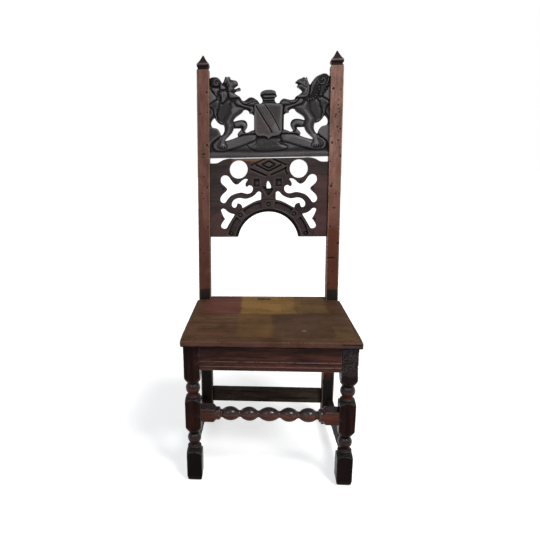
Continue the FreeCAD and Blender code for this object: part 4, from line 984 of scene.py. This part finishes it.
# %% Wormholes
worm_group, ends, result = new_group(
    "wormholes", [("Place", "NodeSocketVector", None)], [("Holes", "NodeSocketFloat")])
cells = worm_group.nodes.new("ShaderNodeTexVoronoi")
cells.inputs["Scale"].default_value = 75.0
worm_group.links.new(ends.outputs["Place"], cells.inputs["Vector"])
hole = between(worm_group, cells.outputs["Distance"], 0.115, 0.075)
where = between(worm_group, noise(worm_group, ends.outputs["Place"], 11.0, 2.0), 0.55, 0.66)
worm_group.links.new(math_node(worm_group, "MULTIPLY", hole, where), result.inputs["Holes"])


# %% One oak material
ALONG = {"x": (0.0, 0.0, 0.0), "y": (0.0, 0.0, -math.pi / 2), "z": (0.0, math.pi / 2, 0.0)}
HOLE = (0.004, 0.003, 0.002)
PORE_DEPTH = 0.0007


def old_oak(name, grain, deep, warm, wear_and_highlight, dirt_and_shade, rough, gloss, shift=0.0, holes=0.0,
            carved=False, stains=(), wear=0.75, figure=1.0, dust=None,
            patchy=(0.72, 1.18), polish=(), over_wear=()):
    """Old oak with its grain along one axis. A stain is centre, reach, colour, amount, ragged."""
    material, tree, shader = paint(name)
    coordinates = tree.nodes.new("ShaderNodeTexCoord")
    turn = tree.nodes.new("ShaderNodeMapping")
    turn.inputs["Rotation"].default_value = ALONG[grain]
    turn.inputs["Location"].default_value = (shift, shift * 0.7, shift * 1.3)
    tree.links.new(coordinates.outputs["Object"], turn.inputs["Vector"])
    place = turn.outputs["Vector"]

    def effect(group):
        node = tree.nodes.new("ShaderNodeGroup")
        node.node_tree = group
        tree.links.new(place, node.inputs["Place"])
        return node

    def patch(centre, size, ragged):
        node = effect(stain_group)
        tree.links.new(coordinates.outputs["Object"], node.inputs["Place"])
        set_inputs(node, {"Centre": centre, "Reach": size, "Ragged": ragged})
        return node.outputs["Mask"]

    def stained(colour, marks):
        for centre, size, stain, amount, ragged in marks:
            cover = math_node(tree, "MULTIPLY", patch(centre, size, ragged), amount)
            colour = blend(tree, cover, colour, stain)
        return colour

    wood = effect(grain_group).outputs
    age = effect(wear_group).outputs
    colour = blend(tree, math_node(tree, "MULTIPLY", wood["Grain"], figure), deep, warm)
    colour = stained(colour, stains)
    if dust:
        settled = math_node(tree, "MULTIPLY", effect(dust_group).outputs["Mask"], 0.92)
        colour = blend(tree, settled, colour, dust)
    light = between(tree, wood["Patches"], 0.0, 1.0, *patchy)
    grey = tree.nodes.new("ShaderNodeCombineColor")
    for socket in grey.inputs[:3]:
        tree.links.new(light, socket)
    colour = blend(tree, 1.0, colour, grey.outputs["Color"], "MULTIPLY")
    colour = blend(tree, math_node(tree, "MULTIPLY", wood["Pores"], 0.5), colour, dirt_and_shade)
    colour = blend(tree, math_node(tree, "MULTIPLY", age["Edge"], wear), colour, wear_and_highlight)
    colour = blend(tree, math_node(tree, "MULTIPLY", age["Dirt"], 0.85), colour, dirt_and_shade)
    colour = stained(colour, over_wear)
    height = math_node(tree, "SUBTRACT", math_node(tree, "MULTIPLY", wood["Grain"], 0.35),
                       wood["Pores"])
    if carved:
        mark = tree.nodes.new("ShaderNodeAttribute")
        mark.attribute_name = "shading_and_dirt"
        shading_and_dirt = mark.outputs["Fac"]
        # Dirt and painted shade darken the carving's sunk places, and painted highlights pale its
        # raised ones.
        colour = blend(tree, between(tree, shading_and_dirt, 0.02, 0.55, 0.0, 0.92), colour, dirt_and_shade)
        colour = blend(tree, between(tree, shading_and_dirt, -0.06, -0.50, 0.0, 0.7), colour, wear_and_highlight)
    if holes:
        scar = tree.nodes.new("ShaderNodeAttribute")
        scar.attribute_name = "scar"
        bored = math_node(tree, "MULTIPLY", effect(worm_group).outputs["Holes"], holes)
        marked = between(tree, scar.outputs["Fac"], 0.05, 0.7, 0.0, 0.9)
        bored = math_node(tree, "MAXIMUM", bored, marked)
        colour = blend(tree, bored, colour, HOLE)
        height = math_node(tree, "SUBTRACT", height, math_node(tree, "MULTIPLY", bored, 3.0))
    tree.links.new(colour, shader.inputs["Base Color"])
    sheen = math_node(tree, "ADD", math_node(tree, "MULTIPLY", wood["Grain"], -0.10),
                      math_node(tree, "MULTIPLY", age["Dirt"], 0.18))
    if carved:
        sheen = math_node(tree, "ADD", sheen, between(tree, shading_and_dirt, 0.0, 0.5, 0.0, 0.35))
    tree.links.new(math_node(tree, "ADD", sheen, rough), shader.inputs["Roughness"])
    bump = tree.nodes.new("ShaderNodeBump")
    set_inputs(bump, {"Distance": PORE_DEPTH, "Strength": 0.5})
    tree.links.new(height, bump.inputs["Height"])
    tree.links.new(bump.outputs["Normal"], shader.inputs["Normal"])
    shader.inputs["Specular IOR Level"].default_value = gloss
    if polish:
        waxed = patch(*polish[0])
        for rubbed in polish[1:]:
            waxed = math_node(tree, "MAXIMUM", waxed, patch(*rubbed))
        tree.links.new(waxed, shader.inputs["Coat Weight"])
        set_inputs(shader, {"Coat Roughness": 0.25, "Coat IOR": 1.22})
    return material

# %% [markdown]
# ## The finishes of this chair
#
# The photograph shows one oak in many shades: paler posts, a nearly black crest, a seat in
# patches, dark wood near the floor, which is painted here as shade. One material with many
# masks could do it, but each piece is easier to set by itself, so each kind of piece gets its
# own old oak. Its colours are the dark bands of the grain (deep), the bands between them
# (warm), the arrises, which on the carved boards also take painted highlights
# (wear_and_highlight), and what fills the hollows, which on the carved boards is also painted
# shade (dirt_and_shade). A stain adds another colour in one place: where its middle is, how
# far it reaches, its colour, how much it covers, and how ragged its edge is. Stains over the
# wear lie on top of it; on the posts they paint shade into the groove under the spire and
# darken the spire.

# %% Stains that run right across a piece
SOOT = (0.005, 0.0035, 0.003)
LEG_FRONT = -0.21
WIDE = 0.4
oak = {}


def band(back, up, half_height, colour, amount, ragged, half_depth=0.1):
    """A stain at one height, wider than any piece that it lies on."""
    return (0.0, back, up), (WIDE, half_depth, half_height), colour, amount, ragged


def leg_band(up, half_height, colour, amount, ragged):
    """A stain round both front legs at one height."""
    return band(LEG_FRONT, up, half_height, colour, amount, ragged, 0.05)


# %% The rear posts, with painted shade towards the floor, darker round the seat, and dark spires
# Near black from the floor up to the seat: painted shade.
low_painted_shade = band(0.13, 0.10, 0.355, (0.005, 0.004, 0.003), 1.0, 0.1)
low_red = band(0.13, 0.30, 0.11, (0.044, 0.013, 0.009), 0.85, 1.2)
# Darker round the posts just above the seat.
dark_round_seat = band(0.12, 0.458, 0.022, (0.010, 0.009, 0.008), 0.9, 1.1)
dark_round_seat_inside = ((0.165, 0.12, 0.478), (0.022, 0.1, 0.020), (0.010, 0.009, 0.008), 0.8, 0.9)
spire_band = band(0.24, 1.165, 0.008, (0.085, 0.050, 0.045), 0.8, 0.1)
# Painted shade in the groove below the spire's band, and a darker spire above it.
spire_groove_shade_and_dark_tip = (band(0.24, 1.1560, 0.0070, (0.002, 0.0015, 0.0015), 0.97, 0.1),
              band(0.24, 1.1935, 0.0262, (0.0055, 0.005, 0.005), 0.96, 0.1))
oak["post_left"] = old_oak(
    "post_left_oak", "z", deep=(0.070, 0.028, 0.020), warm=(0.140, 0.064, 0.048),
    wear_and_highlight=(0.20, 0.11, 0.08), dirt_and_shade=SOOT, rough=0.50, gloss=0.08, shift=0.3, holes=0.5,
    patchy=(0.82, 1.12), over_wear=spire_groove_shade_and_dark_tip, stains=(
        # These bands darken the post towards the seat: painted shade.
        band(0.14, 0.60, 0.20, (0.100, 0.040, 0.028), 0.35, 0.9, 0.2),
        band(0.12, 0.52, 0.16, (0.080, 0.027, 0.018), 0.7, 0.9, 0.2),
        dark_round_seat, low_painted_shade, spire_band))
oak["post_right"] = old_oak(
    "post_right_oak", "z", deep=(0.105, 0.046, 0.033), warm=(0.198, 0.108, 0.083),
    wear_and_highlight=(0.27, 0.17, 0.12), dirt_and_shade=SOOT, rough=0.52, gloss=0.08, shift=1.1, holes=0.6,
    patchy=(0.84, 1.10), over_wear=spire_groove_shade_and_dark_tip, stains=(
        # These three bands darken the post towards the seat: painted shade.
        band(0.14, 0.64, 0.215, (0.135, 0.060, 0.044), 0.65, 0.7, 0.2),
        band(0.14, 0.60, 0.175, (0.105, 0.040, 0.026), 0.6, 0.7, 0.2),
        band(0.12, 0.52, 0.16, (0.074, 0.019, 0.009), 0.8, 0.7, 0.2),
        dark_round_seat, dark_round_seat_inside, low_painted_shade, low_red, spire_band))
print("finishes of the posts", list(oak))

# %% The carved boards, almost black, with paler ridges where hands rub them and painted highlights
oak["crest"] = old_oak(
    "crest_oak", "x", deep=(0.016, 0.0133, 0.0133), warm=(0.028, 0.0235, 0.0235),
    wear_and_highlight=(0.092, 0.086, 0.089), dirt_and_shade=(0.003, 0.0025, 0.0025), rough=0.36, gloss=0.14,
    shift=0.6, carved=True, figure=0.6, wear=0.1, stains=(
        # Paler ribbons: painted light.
        ((0.095, 0.18, 0.934), (0.05, 0.1, 0.019), (0.092, 0.087, 0.091), 0.75, 0.8),
        ((-0.095, 0.18, 0.934), (0.05, 0.1, 0.019), (0.062, 0.058, 0.060), 0.7, 0.8),
        ((0.0, 0.17, 0.892), (0.19, 0.1, 0.014), (0.040, 0.034, 0.035), 0.6, 0.8),
        ((0.0, 0.18, 1.000), (0.043, 0.1, 0.048), (0.046, 0.035, 0.032), 0.6, 1.5)))
oak["arched"] = old_oak(
    "arched_oak", "x", deep=(0.017, 0.0110, 0.0105), warm=(0.037, 0.024, 0.023),
    wear_and_highlight=(0.060, 0.046, 0.044), dirt_and_shade=(0.0035, 0.003, 0.0025), rough=0.46, gloss=0.09,
    shift=1.7, carved=True, figure=0.8, wear=0.15, stains=(
        ((0.165, 0.15, 0.72), (0.022, 0.1, 0.10), (0.060, 0.027, 0.024), 0.6, 1.2),
        ((-0.165, 0.15, 0.67), (0.035, 0.1, 0.045), (0.052, 0.024, 0.021), 0.6, 1.2),
        ((-0.065, 0.18, 0.884), (0.05, 0.1, 0.010), (0.13, 0.06, 0.032), 0.75, 0.8)))
print("carved boards' finishes", [name for name in oak if not name.startswith("post")])

# %% [markdown]
# ### The seat
#
# The seat is the palest wood and the least even: squares of amber, red and brown, a dark mark
# at the back, a pale fleck, and a front edge worn away at the right, with painted shade under
# it. A painted image would be the quick way, but these are plain patches, so each one is a
# stain laid on the top.


# %% Patches on the seat
def on_seat(across, back, half_width, half_length, colour, amount, ragged):
    """A stain on top of the seat."""
    return (across, back, 0.44), (half_width, half_length, 0.1), colour, amount, ragged


def on_nose(across, up, half_width, half_depth, half_height, colour, amount, ragged):
    """A stain on the seat's front edge."""
    return (across, -0.2466, up), (half_width, half_depth, half_height), colour, amount, ragged


seat_patches = (
    on_seat(-0.04, -0.12, 0.05, 0.093, (0.115, 0.062, 0.024), 0.7, 0.5),
    on_seat(0.12, -0.12, 0.11, 0.093, (0.064, 0.036, 0.022), 0.8, 0.6),
    on_seat(0.0, 0.06, 0.083, 0.088, (0.205, 0.112, 0.036), 0.85, 0.35),
    on_seat(0.07, 0.06, 0.03, 0.088, (0.150, 0.085, 0.032), 0.6, 0.9),
    on_seat(0.13, 0.06, 0.05, 0.088, (0.115, 0.064, 0.028), 0.8, 0.9),
    on_seat(-0.14, 0.06, 0.055, 0.088, (0.112, 0.040, 0.032), 0.8, 0.35),
    on_seat(0.21, 0.06, 0.03, 0.088, (0.075, 0.040, 0.022), 0.8, 0.5),
    on_seat(-0.01, 0.112, 0.02, 0.007, SOOT, 0.8, 1.2),
    on_seat(0.093, -0.165, 0.007, 0.004, (0.22, 0.2, 0.19), 0.6, 1.6),
    on_nose(0.0, 0.4355, WIDE, 0.0040, 0.007, (0.082, 0.036, 0.031), 0.8, 0.5),
    on_nose(0.224, 0.4275, 0.036, 0.006, 0.0085, (0.046, 0.041, 0.040), 0.85, 0.5),
    on_nose(0.224, 0.4385, 0.040, 0.006, 0.0018, SOOT, 0.7, 0.5),
    on_seat(-0.15, -0.18, 0.055, 0.03, (0.085, 0.032, 0.022), 0.35, 1.6),
    on_seat(0.20, -0.18, 0.025, 0.05, (0.105, 0.066, 0.026), 0.6, 1.2),
    # Painted shade under the seat's front edge.
    band(-0.05, 0.4165, 0.0125, (0.008, 0.004, 0.0035), 0.95, 0.8, 0.4))
oak["seat"] = old_oak(
    "seat_oak", "x", deep=(0.060, 0.031, 0.017), warm=(0.116, 0.061, 0.033),
    wear_and_highlight=(0.15, 0.095, 0.065), dirt_and_shade=SOOT, rough=0.5, gloss=0.004, shift=2.3, figure=0.8,
    wear=0.5, patchy=(0.84, 1.06), stains=seat_patches)
print("patches on the seat", len(seat_patches))

# %% [markdown]
# ### Rails, legs, stretchers and pegs
#
# Below the seat the wood is dark and red, and the turned parts shine where feet have polished
# them. Shine comes from a coat in narrow bands, because a low roughness all over would look
# like varnish. The feet are painted near black, as shade towards the floor. The head of the
# right leg has decayed, so dull grey stains lie over it, paler at the top as painted light where
# the seat shades it.

# %% Seat rails
oak["rail"] = old_oak(
    "rail_oak", "x", deep=(0.011, 0.0035, 0.003), warm=(0.066, 0.023, 0.015),
    wear_and_highlight=(0.130, 0.072, 0.064), dirt_and_shade=SOOT, rough=0.38, gloss=0.06, shift=0.9, wear=0.9)
oak["side_rail"] = old_oak(
    "side_rail_oak", "y", deep=(0.011, 0.0035, 0.003), warm=(0.048, 0.018, 0.013),
    wear_and_highlight=(0.10, 0.05, 0.04), dirt_and_shade=SOOT, rough=0.46, gloss=0.05, shift=0.9)

# %% Turned legs and the bobbins between them
DECAY_PLACE, DECAY_REACH = DECAY["front_leg_right"][:2]
DECAY_X, DECAY_Y = DECAY_PLACE[:2]
oak["leg"] = old_oak(
    "leg_oak", "z", deep=(0.0032, 0.0016, 0.0014), warm=(0.024, 0.0060, 0.0036),
    wear_and_highlight=(0.055, 0.043, 0.042), dirt_and_shade=(0.002, 0.0015, 0.0015), rough=0.30, gloss=0.035,
    shift=1.9, dust=(0.021, 0.019, 0.020), stains=(
        leg_band(0.281, 0.010, (0.050, 0.0100, 0.0055), 0.75, 0.6),
        leg_band(0.125, 0.009, (0.032, 0.0085, 0.0060), 0.75, 0.6),
        # Painted shade: the feet are near black towards the floor.
        leg_band(0.03, 0.075, (0.0025, 0.002, 0.002), 0.8, 0.8),
        ((0.21, LEG_FRONT, 0.04), (0.04, 0.05, 0.05), (0.0088, 0.0034, 0.0028), 0.7, 1.0),
        leg_band(0.0, 0.010, (0.026, 0.010, 0.0075), 0.5, 1.0),
        ((DECAY_X, DECAY_Y, 0.344), (0.035, 0.032, 0.020), (0.009, 0.007, 0.006), 0.85, 0.6),
        (DECAY_PLACE, DECAY_REACH, (0.026, 0.0185, 0.0175), 0.85, 0.8),
        # Paler at the top of the decay: painted light where the seat shades the leg.
        ((DECAY_X, DECAY_Y, 0.414), (0.035, 0.032, 0.016), (0.036, 0.028, 0.027), 0.85, 0.8)),
    polish=(((0.0, LEG_FRONT, 0.1395), (WIDE, 0.05, 0.0080), 0.4),
            ((0.0, LEG_FRONT, 0.2965), (WIDE, 0.05, 0.0085), 0.4)))
oak["bobbin"] = old_oak(
    "bobbin_oak", "x", deep=(0.024, 0.007, 0.004), warm=(0.100, 0.028, 0.014),
    wear_and_highlight=(0.12, 0.055, 0.042), dirt_and_shade=(0.004, 0.003, 0.003), rough=0.24, gloss=0.09, shift=2.9,
    dust=(0.018, 0.014, 0.016), polish=(((0.0, LEG_FRONT, 0.2215), (0.15, 0.05, 0.0085), 0.4),))

# %% Low stretchers
oak["low_cross"] = old_oak(
    "low_cross_oak", "x", deep=(0.012, 0.0095, 0.0090), warm=(0.092, 0.062, 0.048),
    wear_and_highlight=(0.08, 0.065, 0.05), dirt_and_shade=(0.004, 0.003, 0.003), rough=0.55, gloss=0.03, shift=3.3,
    dust=(0.012, 0.011, 0.010))
oak["low_side"] = old_oak(
    "low_side_oak", "y", deep=(0.006, 0.005, 0.0045), warm=(0.018, 0.012, 0.010),
    wear_and_highlight=(0.04, 0.034, 0.030), dirt_and_shade=(0.003, 0.002, 0.002), rough=0.55, gloss=0.03, shift=3.9)

# %% Pegs
oak["peg"] = old_oak(
    "peg_oak", "y", deep=(0.010, 0.006, 0.005), warm=(0.030, 0.016, 0.012),
    wear_and_highlight=(0.06, 0.04, 0.03), dirt_and_shade=(0.002, 0.0015, 0.001), rough=0.5, gloss=0.05, shift=0.2)
oak["post_peg"] = old_oak(
    "post_peg_oak", "y", deep=(0.020, 0.009, 0.007), warm=(0.060, 0.030, 0.023),
    wear_and_highlight=(0.10, 0.06, 0.05), dirt_and_shade=SOOT, rough=0.5, gloss=0.05, shift=0.7)
print("finishes", len(oak))

# %% [markdown]
# ### Which piece gets which oak
#
# The worn copies take their material by name. The pegs are small and were never copied, so
# the CAD pegs stay, and their material goes straight into their own slot.

# %% Give each piece its finish
FINISH = {
    "front_leg_left": "leg", "front_leg_right": "leg", "rear_post_left": "post_left",
    "rear_post_right": "post_right", "front_seat_rail": "rail", "rear_seat_rail": "rail",
    "side_seat_rail_left": "side_rail", "side_seat_rail_right": "side_rail",
    "front_stretcher": "bobbin", "rear_stretcher": "low_cross",
    "side_stretcher_left": "low_side", "side_stretcher_right": "low_side",
    "seat_board_front": "seat", "seat_board_rear": "seat", "crest_panel": "crest",
    "arched_panel": "arched",
}
PEG_FINISH = {
    "crest_pegs": "post_peg", "arched_panel_pegs": "post_peg", "seat_pegs": "seat",
    "front_rail_pegs": "leg", "front_stretcher_pegs": "leg", "side_rail_pegs": "leg",
    "side_stretcher_pegs": "leg",
}
for name, finish in FINISH.items():
    pieces[name].data.materials.append(oak[finish])
pegs = [name for name in nodes if name.endswith("pegs")]
for name in pegs:
    nodes[name].data.materials.clear()
    nodes[name].data.materials.append(oak[PEG_FINISH.get(name, "peg")])
print("dressed pieces", len(FINISH), "and groups of pegs", len(pegs))
